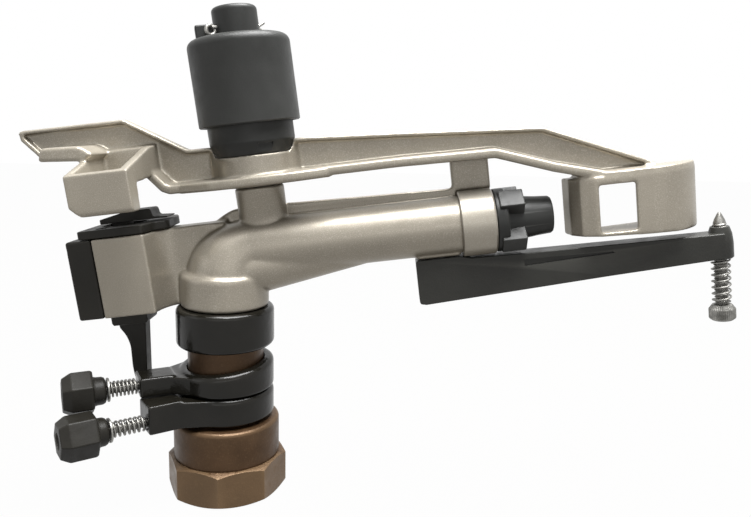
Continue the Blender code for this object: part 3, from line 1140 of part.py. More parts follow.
# Spring cap: the large black cap with its hub, held to the pin by the cotter
cap = turned("spring_cap", [
    (CAP_RADIUS - 0.5 * MM, CAP_BOTTOM),
    (CAP_RADIUS, CAP_BOTTOM + 0.6 * MM),
    (CAP_RADIUS, CAP_TOP - 4.0 * MM),
    (CAP_RADIUS - 0.6 * MM, CAP_TOP - 2.0 * MM),
    (CAP_RADIUS - 2.0 * MM, CAP_TOP - 0.6 * MM),
    (CAP_RADIUS - 4.0 * MM, CAP_TOP),
    (CAP_HUB_RADIUS, CAP_TOP + 0.4 * MM),
    (CAP_HUB_RADIUS, CAP_HUB_TOP - 2.0 * MM),
    (CAP_HUB_RADIUS - 0.7 * MM, CAP_HUB_TOP - 0.6 * MM),
    (CAP_HUB_RADIUS - 2.2 * MM, CAP_HUB_TOP),
], "black_plastic", steps=36, place=arm_place)
cap_lug = block("cap_lug", (-CAP_RADIUS + 5.3 * MM, -CAP_HUB_RADIUS + 2.4 * MM), (-4.6 * MM, 4.6 * MM),
                (CAP_TOP - 2.0 * MM, CAP_TOP + 6.8 * MM), "black_plastic",
                arm_place @ Matrix.Rotation(math.radians(16), 4, "Z"))
soften(cap_lug, 0.6 * MM, 1)
add(cap, cap_lug)
cut(cap, turned("cap_hollow", [
    (CAP_RADIUS - CAP_WALL, CAP_BOTTOM - 1.0 * MM),
    (CAP_RADIUS - CAP_WALL, CAP_TOP - 4.0 * MM),
    (CAP_RADIUS - CAP_WALL - 2.0 * MM, CAP_TOP - CAP_ROOF),
    (PIVOT_RADIUS + GAP, CAP_TOP - CAP_ROOF),
    (PIVOT_RADIUS + GAP, PIVOT_TOP + GAP),
], "black_plastic", steps=24, place=arm_place))
cut(cap, hole(cotter_hole, -CAP_HUB_RADIUS - 4.0 * MM, CAP_HUB_RADIUS + 4.0 * MM, place=cotter_place))
finish(cap, "black_plastic")

# Cotter pin: a round eye, a shank and two legs bent apart
eye_ring = 2.0 * MM
eye_wire = 0.9 * MM
shank_from = -CAP_HUB_RADIUS - 0.6 * MM
shank_to = CAP_HUB_RADIUS + 0.6 * MM
cotter = turned("cotter_pin", [
    (COTTER_RADIUS, shank_from - 1.2 * MM), (COTTER_RADIUS, shank_to),
], "zinc_steel", steps=12, place=cotter_place)
eye_place = cotter_place @ Matrix.Translation((0, 0, shank_from - 1.4 * MM - eye_ring)) @ Matrix.Rotation(
    math.pi / 2, 4, "X")
add(cotter, turned("cotter_eye", [
    (eye_ring + eye_wire * math.cos(a), eye_wire * math.sin(a))
    for a in (2 * math.pi * (k + 0.5) / 5 for k in range(5))
], "zinc_steel", steps=12, tube=True, place=eye_place))
for lean in (-28.0, 28.0):
    leg_place = cotter_place @ Matrix.Translation((0, 0, shank_to - 0.5 * MM)) @ Matrix.Rotation(
        math.radians(lean), 4, "Y")
    add(cotter, turned("leg", [(0.85 * MM, -0.4 * MM), (0.85 * MM, 5.6 * MM)], "zinc_steel", steps=8,
                       place=leg_place))
finish(cotter, "zinc_steel")

# Torsion spring around the pin, between the cup's floor and the cap
torsion = coil("return_spring", SPRING_RADIUS, SPRING_WIRE, ARM_HUB_TOP + SPRING_CUP_FLOOR + GAP,
               CAP_TOP - CAP_ROOF - GAP, 7, "zinc_steel", arm_place, per_turn=12, sides=4)
finish(torsion, "zinc_steel", 60.0)

# Diffuser bar: tapers to the boss that holds the diffuser screw
bar = prism("diffuser_bar", [
    (BAR_START + 0.8 * MM, BAR_TOP),
    (BARREL_END + 0.5 * MM, BAR_TOP),
    (BARREL_END + 4.1 * MM, BAR_TOP + 1.0 * MM),
    (NOZZLE_FLANGE_END - 1.0 * MM, BAR_TOP + 1.0 * MM),
    (DIFFUSER_S - 8.4 * MM, BAR_TOP - 0.5 * MM),
    (DIFFUSER_S, BAR_TOP - 0.5 * MM),
    (DIFFUSER_S, DIFFUSER_BOSS_BOTTOM + 0.4 * MM),
    (DIFFUSER_S - 14.4 * MM, DIFFUSER_BOSS_BOTTOM),
    (DIFFUSER_S - 64.4 * MM, BAR_TOP - BAR_DEPTH + 4.9 * MM),
    (BAR_START + 3.4 * MM, BAR_TOP - BAR_DEPTH),
    (BAR_START + 0.6 * MM, BAR_TOP - BAR_DEPTH + 0.6 * MM),
    (BAR_START, BAR_TOP - BAR_DEPTH + 1.6 * MM),
    (BAR_START, BAR_TOP - 0.8 * MM),
], -BAR_HALF_WIDTH, BAR_HALF_WIDTH, "black_satin_paint", head_matrix(0, 0, 0))
soften(bar, 0.7 * MM, 2)
boss = turned("boss", [
    (DIFFUSER_BOSS_RADIUS - 0.6 * MM, DIFFUSER_BOSS_BOTTOM),
    (DIFFUSER_BOSS_RADIUS, DIFFUSER_BOSS_BOTTOM + 0.6 * MM),
    (DIFFUSER_BOSS_RADIUS, DIFFUSER_BOSS_TOP - 0.6 * MM),
    (DIFFUSER_BOSS_RADIUS - 0.6 * MM, DIFFUSER_BOSS_TOP),
], "black_satin_paint", steps=24, place=head_matrix(DIFFUSER_S, 0, 0))
add(bar, boss)
groove = prism("groove", [
    (NOZZLE_FLANGE_END + 6.0 * MM, BAR_TOP - 7.7 * MM), (DIFFUSER_S - 66.4 * MM, BAR_TOP - 6.4 * MM),
    (DIFFUSER_S - 66.4 * MM, BAR_TOP - 5.0 * MM), (NOZZLE_FLANGE_END + 6.0 * MM, BAR_TOP - 6.3 * MM),
], -BAR_HALF_WIDTH - 1.0 * MM, -BAR_HALF_WIDTH + 0.8 * MM, "black_satin_paint", head_matrix(0, 0, 0))
cut(bar, groove)
cut(bar, hole(DIFFUSER_SCREW_RADIUS + RUNNING_CLEARANCE, DIFFUSER_BOSS_BOTTOM - 1.0 * MM,
              DIFFUSER_BOSS_TOP + 1.0 * MM, 20, head_matrix(DIFFUSER_S, 0, 0)))
for s in BAR_SCREW_S:
    cut(bar, turned("counterbore", [
        (COVER_SCREW_HEAD + 0.3 * MM, BAR_TOP - BAR_DEPTH - 1.8 * MM),
        (COVER_SCREW_HEAD + 0.3 * MM, BAR_SCREW_SEAT),
        (BAR_SCREW_RADIUS + 0.2 * MM, BAR_SCREW_SEAT), (BAR_SCREW_RADIUS + 0.2 * MM, BAR_TOP + 2.0 * MM),
    ], "black_satin_paint", steps=14, place=head_matrix(s, 0, 0)))
finish(bar, "black_satin_paint")
down = head_point(0, 0, -1) - head_point(0, 0, 0)
for k, s in enumerate(BAR_SCREW_S):
    seat_at = head_point(s, 0, BAR_SCREW_SEAT - 0.1 * MM)
    small_screw(f"bar_screw_{k + 1}", axis_matrix(seat_at, down, Vector((0, 1, 0))),
                BAR_SCREW_TOP - BAR_SCREW_SEAT - 0.4 * MM, BAR_SCREW_RADIUS - 0.1 * MM, COVER_SCREW_HEAD,
                2.0 * MM)

# Diffuser screw: pointed tip above, round head below; the shank has the thread's outer size
diffuser_screw = turned("diffuser_screw", [
    (DIFFUSER_HEAD_RADIUS - 1.2 * MM, DIFFUSER_HEAD_BOTTOM),
    (DIFFUSER_HEAD_RADIUS, DIFFUSER_HEAD_BOTTOM + 1.0 * MM),
    (DIFFUSER_HEAD_RADIUS, DIFFUSER_HEAD_TOP - 1.6 * MM),
    (DIFFUSER_HEAD_RADIUS - 1.8 * MM, DIFFUSER_HEAD_TOP - 0.2 * MM),
    (DIFFUSER_SCREW_RADIUS - 0.4 * MM, DIFFUSER_HEAD_TOP),
    (DIFFUSER_SCREW_RADIUS, DIFFUSER_HEAD_TOP + 0.5 * MM),
    (DIFFUSER_SCREW_RADIUS, DIFFUSER_TIP - 6.6 * MM),
    (DIFFUSER_SCREW_RADIUS - 0.5 * MM, DIFFUSER_TIP - 6.2 * MM),
    (DIFFUSER_SCREW_RADIUS - 1.0 * MM, DIFFUSER_TIP - 3.2 * MM),
    (0.9 * MM, DIFFUSER_TIP - 0.4 * MM),
    (0.4 * MM, DIFFUSER_TIP),
], "zinc_steel", steps=20, place=head_matrix(DIFFUSER_S, 0, 0))
finish(diffuser_screw, "zinc_steel", 40.0)
diffuser_spring = coil("diffuser_spring", 4.9 * MM, 0.6 * MM, DIFFUSER_HEAD_TOP + 0.2 * MM,
                       DIFFUSER_BOSS_BOTTOM - 0.2 * MM, 7, "zinc_steel", head_matrix(DIFFUSER_S, 0, 0),
                       per_turn=9, sides=4)
finish(diffuser_spring, "zinc_steel", 60.0)

# Stop rings, each with block, screw, washer, spring and knob
for label, stop in STOPS.items():
    out = Vector((-math.cos(stop["turn"]), -math.sin(stop["turn"]), 0.0))
    across = Vector((math.sin(stop["turn"]), -math.cos(stop["turn"]), 0.0))
    height = stop["band_top"] - stop["bottom"]
    # The ring's own frame has X along the screw and Z up
    ring_place = Matrix.Rotation(math.pi + stop["turn"], 4, "Z")
    offset = stop["offset"]
    band_rings = []
    drop = stop["band_top"] - stop["block_top"]
    for radius, z in (
        (STOP_OUTER - 0.8 * MM, 0.0), (STOP_OUTER, 1.0 * MM), (STOP_OUTER, height - 5.0 * MM),
        (STOP_OUTER - 1.0 * MM, height - 3.4 * MM), (STOP_OUTER - 4.0 * MM, height),
    ):
        points = []
        for k in range(RING_STEPS):
            a = 2 * math.pi * k / RING_STEPS
            lower = drop * (1 + math.cos(a)) / 2 * (z / height)
            points.append((radius * math.cos(a), radius * math.sin(a), stop["bottom"] + z - lower))
        band_rings.append(points)
    band = skin(f"stop_ring_{label}", band_rings, "black_satin_paint", ring_place)
    reach = math.radians(66)
    legs = prism("legs", [
        (STOP_OUTER * math.cos(reach) - 1.0 * MM, STOP_OUTER * math.sin(reach) - 0.6 * MM),
        (STOP_OUTER + 6.2 * MM, offset + STOP_BLOCK_HALF - 0.6 * MM),
        (STOP_OUTER + 6.2 * MM, offset - STOP_BLOCK_HALF + 0.6 * MM),
        (STOP_OUTER * math.cos(reach) - 1.0 * MM, -STOP_OUTER * math.sin(reach) + 0.6 * MM),
    ], stop["bottom"] + 0.4 * MM, stop["block_top"] - 0.8 * MM, "black_satin_paint", ring_place,
        plane="XY")
    stop_block = block("stop_block", (STOP_OUTER + 2.2 * MM, STOP_BLOCK_END),
                       (offset - STOP_BLOCK_HALF, offset + STOP_BLOCK_HALF),
                       (stop["bottom"], stop["block_top"]), "black_satin_paint", ring_place)
    soften(stop_block, 0.9 * MM, 2)
    add(band, legs, stop_block)
    cut(band, hole(STOP_BORE, stop["bottom"] - 2.0 * MM, stop["band_top"] + 2.0 * MM, RING_STEPS))
    axis_at = across * offset + Vector((0, 0, stop["screw_z"]))
    screw_place = axis_matrix(axis_at, out, Vector((0, 0, 1)))
    cut(band, hole(STOP_SCREW_RADIUS + RUNNING_CLEARANCE, 10.0 * MM, STOP_BLOCK_END + 4.0 * MM, 20,
                   screw_place))
    finish(band, "black_satin_paint")

    washer_at = STOP_BLOCK_END + GAP + stop["spring"]
    washer_face = washer_at + 0.1 * MM + STOP_WASHER_THICKNESS
    knob_at = washer_face + 2 * GAP
    hub_end = knob_at + stop["hub"]
    knob_end = hub_end + stop["head"]
    spring = coil(f"stop_spring_{label}", STOP_SPRING_RADIUS, 0.55 * MM, STOP_BLOCK_END + GAP,
                  washer_at - 0.1 * MM, 5, "zinc_steel", screw_place, per_turn=9, sides=4)
    finish(spring, "zinc_steel", 60.0)
    washer = turned(f"stop_washer_{label}", [
        (STOP_SCREW_RADIUS + GAP, washer_at + 0.1 * MM), (STOP_WASHER_RADIUS, washer_at + 0.1 * MM),
        (STOP_WASHER_RADIUS, washer_face), (STOP_SCREW_RADIUS + GAP, washer_face),
    ], "zinc_steel", steps=20, tube=True, place=screw_place)
    finish(washer, "zinc_steel")
    tip = STOP_SCREW_TIP if label == "upper" else STOP_SCREW_TIP + 0.3 * MM
    screw = turned(f"stop_screw_{label}", [
        (STOP_SCREW_RADIUS - 0.8 * MM, tip), (STOP_SCREW_RADIUS, tip + 0.8 * MM),
        (STOP_SCREW_RADIUS, knob_end - 5.0 * MM), (STOP_SCREW_RADIUS - 0.5 * MM, knob_end - 4.5 * MM),
    ], "zinc_steel", steps=20, place=screw_place)
    finish(screw, "zinc_steel")
    turn = 0.0 if not stop["flat_up"] else math.pi / 6
    knob = turned(f"stop_knob_{label}", [
        (KNOB_CORNER_RADIUS - 0.6 * MM, hub_end),
        (KNOB_CORNER_RADIUS, hub_end + 0.8 * MM),
        (KNOB_CORNER_RADIUS, knob_end - 2.6 * MM),
        (KNOB_CORNER_RADIUS - 2.4 * MM, knob_end),
    ], "black_plastic", steps=6, turn=turn, place=screw_place)
    soften(knob, 0.8 * MM, 2, 40.0)
    knob_hub = turned("knob_hub", [
        (STOP_SCREW_RADIUS + 3.8 * MM, knob_at), (STOP_SCREW_RADIUS + 4.3 * MM, knob_at + 0.5 * MM),
        (STOP_SCREW_RADIUS + 5.1 * MM, hub_end + 1.0 * MM),
    ], "black_plastic", steps=20, place=screw_place)
    add(knob, knob_hub)
    cut(knob, turned("knob_bore", [(STOP_SCREW_RADIUS + GAP, knob_at - 1.0 * MM),
                                   (STOP_SCREW_RADIUS + GAP, knob_end - 4.0 * MM)],
                     "black_plastic", steps=20, place=screw_place))
    finish(knob, "black_plastic")

print("pieces", len([o for o in bpy.data.objects if o.type == "MESH"]))
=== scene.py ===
# %% [markdown]
# # A large impact sprinkler, dressed for the studio
# The solids of this sprinkler come from its CAD: they are true to size, but plain. This lesson
# keeps the hidden ones, makes finer pieces over the visible ones, and gives every surface a finish.
# All lengths are in metres, in the CAD's own frame, so each piece goes where the CAD says.

# %% Load the solids
import math

import bmesh
import bpy
from mathutils import Matrix, Vector


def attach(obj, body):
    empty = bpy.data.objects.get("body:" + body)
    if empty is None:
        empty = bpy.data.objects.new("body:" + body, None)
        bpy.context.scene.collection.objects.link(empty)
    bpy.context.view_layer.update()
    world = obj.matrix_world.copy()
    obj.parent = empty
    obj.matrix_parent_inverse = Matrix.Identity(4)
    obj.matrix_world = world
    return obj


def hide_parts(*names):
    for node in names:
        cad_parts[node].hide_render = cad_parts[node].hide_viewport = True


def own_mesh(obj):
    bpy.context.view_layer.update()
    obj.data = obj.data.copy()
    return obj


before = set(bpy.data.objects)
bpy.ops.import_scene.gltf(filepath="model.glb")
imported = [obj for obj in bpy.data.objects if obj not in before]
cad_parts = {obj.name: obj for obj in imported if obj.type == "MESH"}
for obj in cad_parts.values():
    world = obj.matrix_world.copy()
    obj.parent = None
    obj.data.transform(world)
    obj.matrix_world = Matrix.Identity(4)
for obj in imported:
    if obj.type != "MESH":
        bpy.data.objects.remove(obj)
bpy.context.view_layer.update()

# %% [markdown]
# ## Where things are
# The barrel rises by eight degrees. A piece of the head is easiest to make level, along X, with its
# heights counted from the barrel's axis, and then tipped and lifted as one. `on_barrel` is that
# tipping and lifting, as a matrix.

# %% The barrel's own frame
MM = 0.001
RISE = math.radians(8.0)
AXIS_HEIGHT = 132.9 * MM


def spun(degrees, axis="Z"):
    return Matrix.Rotation(math.radians(degrees), 4, axis)


def at(x, y, z):
    """A shift in millimetres."""
    return Matrix.Translation((x * MM, y * MM, z * MM))


on_barrel = Matrix.Translation((0.0, 0.0, AXIS_HEIGHT)) @ Matrix.Rotation(-RISE, 4, "Y")
PIVOT = 23.4
print("the pivot post meets the barrel at", [round(c, 4) for c in on_barrel @ Vector((PIVOT * MM, 0, 0))])

# %% [markdown]
# ## Small tools
# Every new piece begins with nothing selected, because an operator works on all that is selected.
# A finished piece has its place in its mesh and its object at the origin, as a CAD solid does.

# %% Selecting, placing and finishing a piece
def select_only(*pieces):
    if bpy.context.mode != "OBJECT":
        bpy.ops.object.mode_set(mode="OBJECT")
    bpy.ops.object.select_all(action="DESELECT")
    for piece in pieces:
        piece.select_set(True)
    if pieces:
        bpy.context.view_layer.objects.active = pieces[0]


def named(name):
    """The piece that an operator has just added, under its own name."""
    piece = bpy.context.object
    piece.name = name
    return piece


def discard(piece):
    mesh = piece.data
    bpy.data.objects.remove(piece)
    bpy.data.meshes.remove(mesh)


def edit_all():
    bpy.ops.object.mode_set(mode="EDIT")
    bpy.ops.mesh.select_all(action="SELECT")


def close_up():
    """Turns every face outwards and leaves edit mode."""
    bpy.ops.mesh.select_all(action="SELECT")
    bpy.ops.mesh.normals_make_consistent(inside=False)
    bpy.ops.object.mode_set(mode="OBJECT")


def settle(piece, place=None):
    """Puts the piece in its place and moves that place into the mesh."""
    select_only(piece)
    if place is not None:
        piece.matrix_world = place @ piece.matrix_world
    bpy.ops.object.transform_apply(location=True, rotation=True, scale=True)
    return piece


def apply_modifier(piece, kind, **values):
    select_only(piece)
    modifier = piece.modifiers.new(kind.lower(), kind)
    for key, value in values.items():
        setattr(modifier, key, value)
    bpy.ops.object.modifier_apply(modifier=modifier.name)
    return piece


def round_edges(piece, width, segments=2, angle=32.0):
    return apply_modifier(piece, "BEVEL", width=width, segments=segments, limit_method="ANGLE",
                          angle_limit=math.radians(angle), harden_normals=False)


def smooth(piece, angle=35.0):
    select_only(piece)
    bpy.ops.object.shade_smooth_by_angle(angle=math.radians(angle), keep_sharp_edges=False)
    return apply_modifier(piece, "WEIGHTED_NORMAL", keep_sharp=True, weight=95)


# %% [markdown]
# ## Turned pieces
# Most of a sprinkler is turned on a lathe or cast round. The hand method is to add a circle, then
# extrude it upwards ring by ring and scale each new ring to the profile. A spin of a drawn profile
# gives the same shape, but the circle keeps the rings easy to read: each is a radius and a height.

# %% A lathe made of circles
def turned(name, profile, place=None, sides=96, tube=False):
    """A round piece from rings of (radius, height) in millimetres; a tube's profile closes on itself."""
    rings = [(r * MM, z * MM) for r, z in profile]
    select_only()
    radius, height = rings[0]
    bpy.ops.mesh.primitive_circle_add(vertices=sides, radius=radius, location=(0, 0, height))
    piece = named(name)
    edit_all()
    for next_radius, next_height in rings[1:] + (rings[:1] if tube else []):
        bpy.ops.mesh.extrude_edges_move(TRANSFORM_OT_translate={"value": (0, 0, next_height - height)})
        grow = next_radius / radius
        bpy.ops.transform.resize(value=(grow, grow, 1), center_override=(0, 0, next_height))
        radius, height = next_radius, next_height
    if tube:
        bpy.ops.mesh.select_all(action="SELECT")
        bpy.ops.mesh.remove_doubles(threshold=1e-6)
    else:
        for side in (rings[0], rings[-1]):
            mesh = bmesh.from_edit_mesh(piece.data)
            bpy.ops.mesh.select_all(action="DESELECT")
            base = rings[0][1]
            for edge in mesh.edges:
                flat = all(abs(v.co.z + base - side[1]) < 1e-7 for v in edge.verts)
                edge.select_set(flat and edge.is_boundary)
            bmesh.update_edit_mesh(piece.data)
            bpy.ops.mesh.edge_face_add()
    close_up()
    return settle(piece, place)


def rounding(radius, height, size, start, end, steps=4):
    """Rings on a quarter round: centre at (radius, height), angles in degrees from outwards to up."""
    return [
        (radius + size * math.cos(math.radians(start + (end - start) * k / steps)),
         height + size * math.sin(math.radians(start + (end - start) * k / steps)))
        for k in range(steps + 1)
    ]


# %% [markdown]
# ## Plates and profiles
# A plate starts as a filled circle with one corner for each corner of its outline. Every corner is
# moved to its place, chosen corners are rounded with a vertex bevel, and the face is extruded to
# the plate's thickness.

# %% Plates from an outline
TURNS = {
    "XZ": spun(90, "X"),
    "XY": Matrix.Identity(4),
    "YZ": spun(90) @ spun(90, "X"),
}


def plate(name, outline, low, high, place=None, plane="XZ", corners=None):
    """A plate in millimetres; corners maps a corner's number to the radius of its rounding."""
    points = [Vector((a * MM, b * MM, 0)) for a, b in outline]
    select_only()
    bpy.ops.mesh.primitive_circle_add(vertices=len(points), radius=1.0, fill_type="NGON")
    piece = named(name)
    bpy.ops.object.mode_set(mode="EDIT")
    bpy.ops.mesh.select_mode(type="VERT")
    mesh = bmesh.from_edit_mesh(piece.data)
    mesh.verts.ensure_lookup_table()
    for k, point in enumerate(points):
        bpy.ops.mesh.select_all(action="DESELECT")
        mesh.verts[k].select_set(True)
        bpy.ops.transform.translate(value=point - mesh.verts[k].co)
    for k, radius in sorted((corners or {}).items(), reverse=True):
        mesh = bmesh.from_edit_mesh(piece.data)
        bpy.ops.mesh.select_all(action="DESELECT")
        for vert in mesh.verts:
            vert.select_set((vert.co - points[k]).length < 1e-7)
        bpy.ops.mesh.bevel(offset=radius * MM, segments=6, affect="VERTICES", clamp_overlap=True)
    bpy.ops.mesh.select_all(action="SELECT")
    lift = -low * MM if plane == "XZ" else low * MM
    thick = -(high - low) * MM if plane == "XZ" else (high - low) * MM
    bpy.ops.transform.translate(value=(0, 0, lift))
    bpy.ops.mesh.extrude_region_move(TRANSFORM_OT_translate={"value": (0, 0, thick)})
    close_up()
    settle(piece, TURNS[plane])
    return settle(piece, place)


def brick(name, x, y, z, place=None, edge=0.0, segments=2):
    """A block between two corners, in millimetres, with its edges rounded by a bevel."""
    select_only()
    middle = [(a + b) / 2 * MM for a, b in (x, y, z)]
    size = [(b - a) * MM for a, b in (x, y, z)]
    bpy.ops.mesh.primitive_cube_add(size=1.0, location=middle)
    piece = named(name)
    bpy.ops.object.mode_set(mode="EDIT")
    bpy.ops.transform.resize(value=size, center_override=middle)
    if edge:
        bpy.ops.mesh.select_all(action="SELECT")
        bpy.ops.mesh.bevel(offset=edge * MM, segments=segments, affect="EDGES")
    bpy.ops.object.mode_set(mode="OBJECT")
    return settle(piece, place)


# %% [markdown]
# ## Adding and cutting
# Cutters and added lumps are ordinary pieces. A Boolean modifier uses them and is applied at once,
# and the tool is thrown away.

# %% Joining, cutting and copying
def use_tools(piece, tools, operation):
    for tool in tools:
        apply_modifier(piece, "BOOLEAN", operation=operation, solver="EXACT", object=tool)
        discard(tool)
    return piece


def weld_on(piece, *tools):
    return use_tools(piece, tools, "UNION")


def cut_out(piece, *tools):
    return use_tools(piece, tools, "DIFFERENCE")


def copy_of(piece, name, place):
    """A copy with its own mesh, put in its place."""
    select_only(piece)
    bpy.ops.object.duplicate(linked=False)
    twin = bpy.context.object
    twin.name = name
    return settle(twin, place)


def cast(piece, voxel, passes):
    """Melts touching lumps into one casting: a fine remesh, then a little smoothing."""
    apply_modifier(piece, "REMESH", mode="VOXEL", voxel_size=voxel * MM, adaptivity=0.0)
    apply_modifier(piece, "SMOOTH", factor=0.5, iterations=passes)
    select_only(piece)
    bpy.ops.object.shade_smooth()
    print(piece.name, "cast,", len(piece.data.polygons), "faces")
    return piece


def bore(piece, radius, low, high, place=None, sides=96):
    return cut_out(piece, turned("bore", [(radius, low), (radius, high)], place, sides))


def dress(piece, finish, body, *nodes):
    """Gives the piece its finish, hides the solids that it stands for and ties it to its body.

    With no solid named, it stands for the solid whose name it has.
    """
    nodes = nodes or (piece.name.split(".")[0],)
    piece.data.materials.clear()
    piece.data.materials.append(finish)
    for face in piece.data.polygons:
        face.material_index = 0
    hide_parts(*nodes)
    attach(piece, body)
    print(piece.name, "stands for", ", ".join(nodes), "on", body)
    return piece


# %% [markdown]
# ## Springs and threads
# A spring is a wire's round section carried round an axis by a Screw modifier while it climbs. A
# thread is made the same way from a zigzag line: one turn lifts it by exactly one pitch, so its
# teeth meet themselves and become one long helix. Two cuts across the ends close the solid.

# %% Coils and screw threads
def coil(name, radius, wire, low, high, turns, place, sides=10, steps=30):
    """A round-wire spring in millimetres, its ends closed."""
    select_only()
    bpy.ops.mesh.primitive_circle_add(vertices=sides, radius=wire * MM, rotation=(math.pi / 2, 0, 0),
                                      location=(radius * MM, 0, (low + wire) * MM))
    piece = named(name)
    settle(piece)
    apply_modifier(piece, "SCREW", angle=2 * math.pi * turns, steps=int(steps * turns),
                   render_steps=int(steps * turns), screw_offset=(high - low - 2 * wire) * MM,
                   iterations=1)
    bpy.ops.object.mode_set(mode="EDIT")
    bpy.ops.mesh.select_mode(type="EDGE")
    for end in (0, 1):
        mesh = bmesh.from_edit_mesh(piece.data)
        open_edges = [edge for edge in mesh.edges if edge.is_boundary]
        middle = (low + high) / 2 * MM
        bpy.ops.mesh.select_all(action="DESELECT")
        for edge in open_edges:
            edge.select_set((edge.verts[0].co.z > middle) == bool(end))
        bpy.ops.mesh.edge_face_add()
    close_up()
    smooth(piece, 50.0)
    return settle(piece, place)


def thread(name, crest, root, pitch, low, high, steps=40):
    """A threaded rod in millimetres along Z, with flat ends."""
    select_only()
    bpy.ops.mesh.primitive_plane_add(size=1.0, location=(0, 0, 0))
    piece = named(name)
    edit_all()
    bpy.ops.mesh.merge(type="CENTER")
    bpy.ops.mesh.select_all(action="SELECT")
    bpy.ops.transform.translate(value=(root * MM, 0, (low - 1.5 * pitch) * MM))
    teeth = int((high - low) / pitch) + 3
    for tooth in range(teeth):
        for out, up in ((crest - root, 0.42), (0, 0.10), (root - crest, 0.38), (0, 0.10)):
            bpy.ops.mesh.extrude_vertices_move(
                TRANSFORM_OT_translate={"value": (out * MM, 0, up * pitch * MM)})
    bpy.ops.object.mode_set(mode="OBJECT")
    apply_modifier(piece, "SCREW", angle=2 * math.pi, steps=steps, render_steps=steps,
                   screw_offset=pitch * MM, iterations=1, use_merge_vertices=True, merge_threshold=1e-6)
    edit_all()
    bpy.ops.mesh.remove_doubles(threshold=2e-6)
    for height, keep_above in ((low, True), (high, False)):
        bpy.ops.mesh.select_all(action="SELECT")
        bpy.ops.mesh.bisect(plane_co=(0, 0, height * MM), plane_no=(0, 0, 1), use_fill=True,
                            clear_inner=keep_above, clear_outer=not keep_above)
    close_up()
    return piece


# %% [markdown]
# ## The studio
# A wide soft key overhead, a long low lamp in front, a weak one at the side, and a dim even world
# over a floor. To the rays of the camera, of a mirror and of glass the floor and the world are
# white, through Light Path, while the light that they spread stays dim and the floor keeps its
# shadow. The camera is where the photographer's was: close, a little above the barrel and tilted
# slightly, which is why the far pieces look small.

# %% Camera
camera_data = bpy.data.cameras.new("camera")
camera_data.sensor_width = 36.0
camera_data.lens = 33.51
camera_data.shift_x = -0.0082
camera_data.shift_y = -0.0071
camera_data.clip_start = 0.02
camera = bpy.data.objects.new("camera", camera_data)
camera.location = (0.0883, -0.3666, 0.198)
camera.rotation_euler = (math.radians(80.057), math.radians(-1.428), math.radians(0.940))
bpy.context.scene.collection.objects.link(camera)
bpy.context.scene.camera = camera
print("camera at", tuple(round(c, 3) for c in camera.location))


# %% Floor, world and lamps
scene = bpy.context.scene
scene.view_settings.view_transform = "Standard"


def seen_directly(nodes, links):
    """One for a ray that the camera, a mirror or glass sees, and nought for light that spreads."""
    path = nodes.new("ShaderNodeLightPath")
    total = path.outputs["Is Camera Ray"]
    for kind in ("Is Glossy Ray", "Is Transmission Ray"):
        either = nodes.new("ShaderNodeMath")
        either.operation = "MAXIMUM"
        links.new(total, either.inputs[0])
        links.new(path.outputs[kind], either.inputs[1])
        total = either.outputs[0]
    return total


world = bpy.data.worlds.new("studio_white")
scene.world = world
world.use_nodes = True
world_nodes, world_links = world.node_tree.nodes, world.node_tree.links
sky = world_nodes["Background"]
sky.inputs["Color"].default_value = (1.0, 1.0, 1.0, 1.0)
sky.inputs["Strength"].default_value = 0.13
backdrop = world_nodes.new("ShaderNodeBackground")
backdrop.inputs["Color"].default_value = (1.0, 1.0, 1.0, 1.0)
backdrop.inputs["Strength"].default_value = 1.0
world_mix = world_nodes.new("ShaderNodeMixShader")
world_links.new(seen_directly(world_nodes, world_links), world_mix.inputs[0])
world_links.new(sky.outputs[0], world_mix.inputs[1])
world_links.new(backdrop.outputs[0], world_mix.inputs[2])
world_links.new(world_mix.outputs[0], world_nodes["World Output"].inputs["Surface"])

select_only()
bpy.ops.mesh.primitive_plane_add(size=6.0, location=(0, 0, -0.0005))
floor = bpy.context.object
floor.name = "floor"
floor_finish = bpy.data.materials.new("pale_floor")
floor_finish.use_nodes = True
floor_nodes, floor_links = floor_finish.node_tree.nodes, floor_finish.node_tree.links
floor_nodes["Principled BSDF"].inputs["Base Color"].default_value = (0.125, 0.113, 0.096, 1.0)
floor_nodes["Principled BSDF"].inputs["Roughness"].default_value = 0.9
white = floor_nodes.new("ShaderNodeEmission")
share = floor_nodes.new("ShaderNodeMath")
share.operation = "MULTIPLY"
share.inputs[1].default_value = 0.98
floor_mix = floor_nodes.new("ShaderNodeMixShader")
floor_links.new(seen_directly(floor_nodes, floor_links), share.inputs[0])
floor_links.new(share.outputs[0], floor_mix.inputs[0])
floor_links.new(floor_nodes["Principled BSDF"].outputs[0], floor_mix.inputs[1])
floor_links.new(white.outputs[0], floor_mix.inputs[2])
floor_links.new(floor_mix.outputs[0], floor_nodes["Material Output"].inputs["Surface"])
floor.data.materials.append(floor_finish)


def lamp(name, place, target, size, power):
    data = bpy.data.lights.new(name, "AREA")
    data.shape = "RECTANGLE"
    data.size, data.size_y = size
    data.energy = power
    light = bpy.data.objects.new(name, data)
    light.location = place
    aim = Vector(target) - Vector(place)
    light.rotation_euler = aim.to_track_quat("-Z", "Y").to_euler()
    scene.collection.objects.link(light)
    return light


lamp("key", (0.24, -0.08, 1.06), (0.14, 0.0, 0.14), (0.9, 0.70), 50.0)
lamp("front", (0.30, -1.2, 0.32), (0.10, 0.0, 0.18), (1.6, 0.34), 2.0)
lamp("side", (-1.0, -0.5, 0.5), (0.0, 0.0, 0.12), (0.5, 0.5), 0.6)
print("lamps:", [light.name for light in bpy.data.lights])
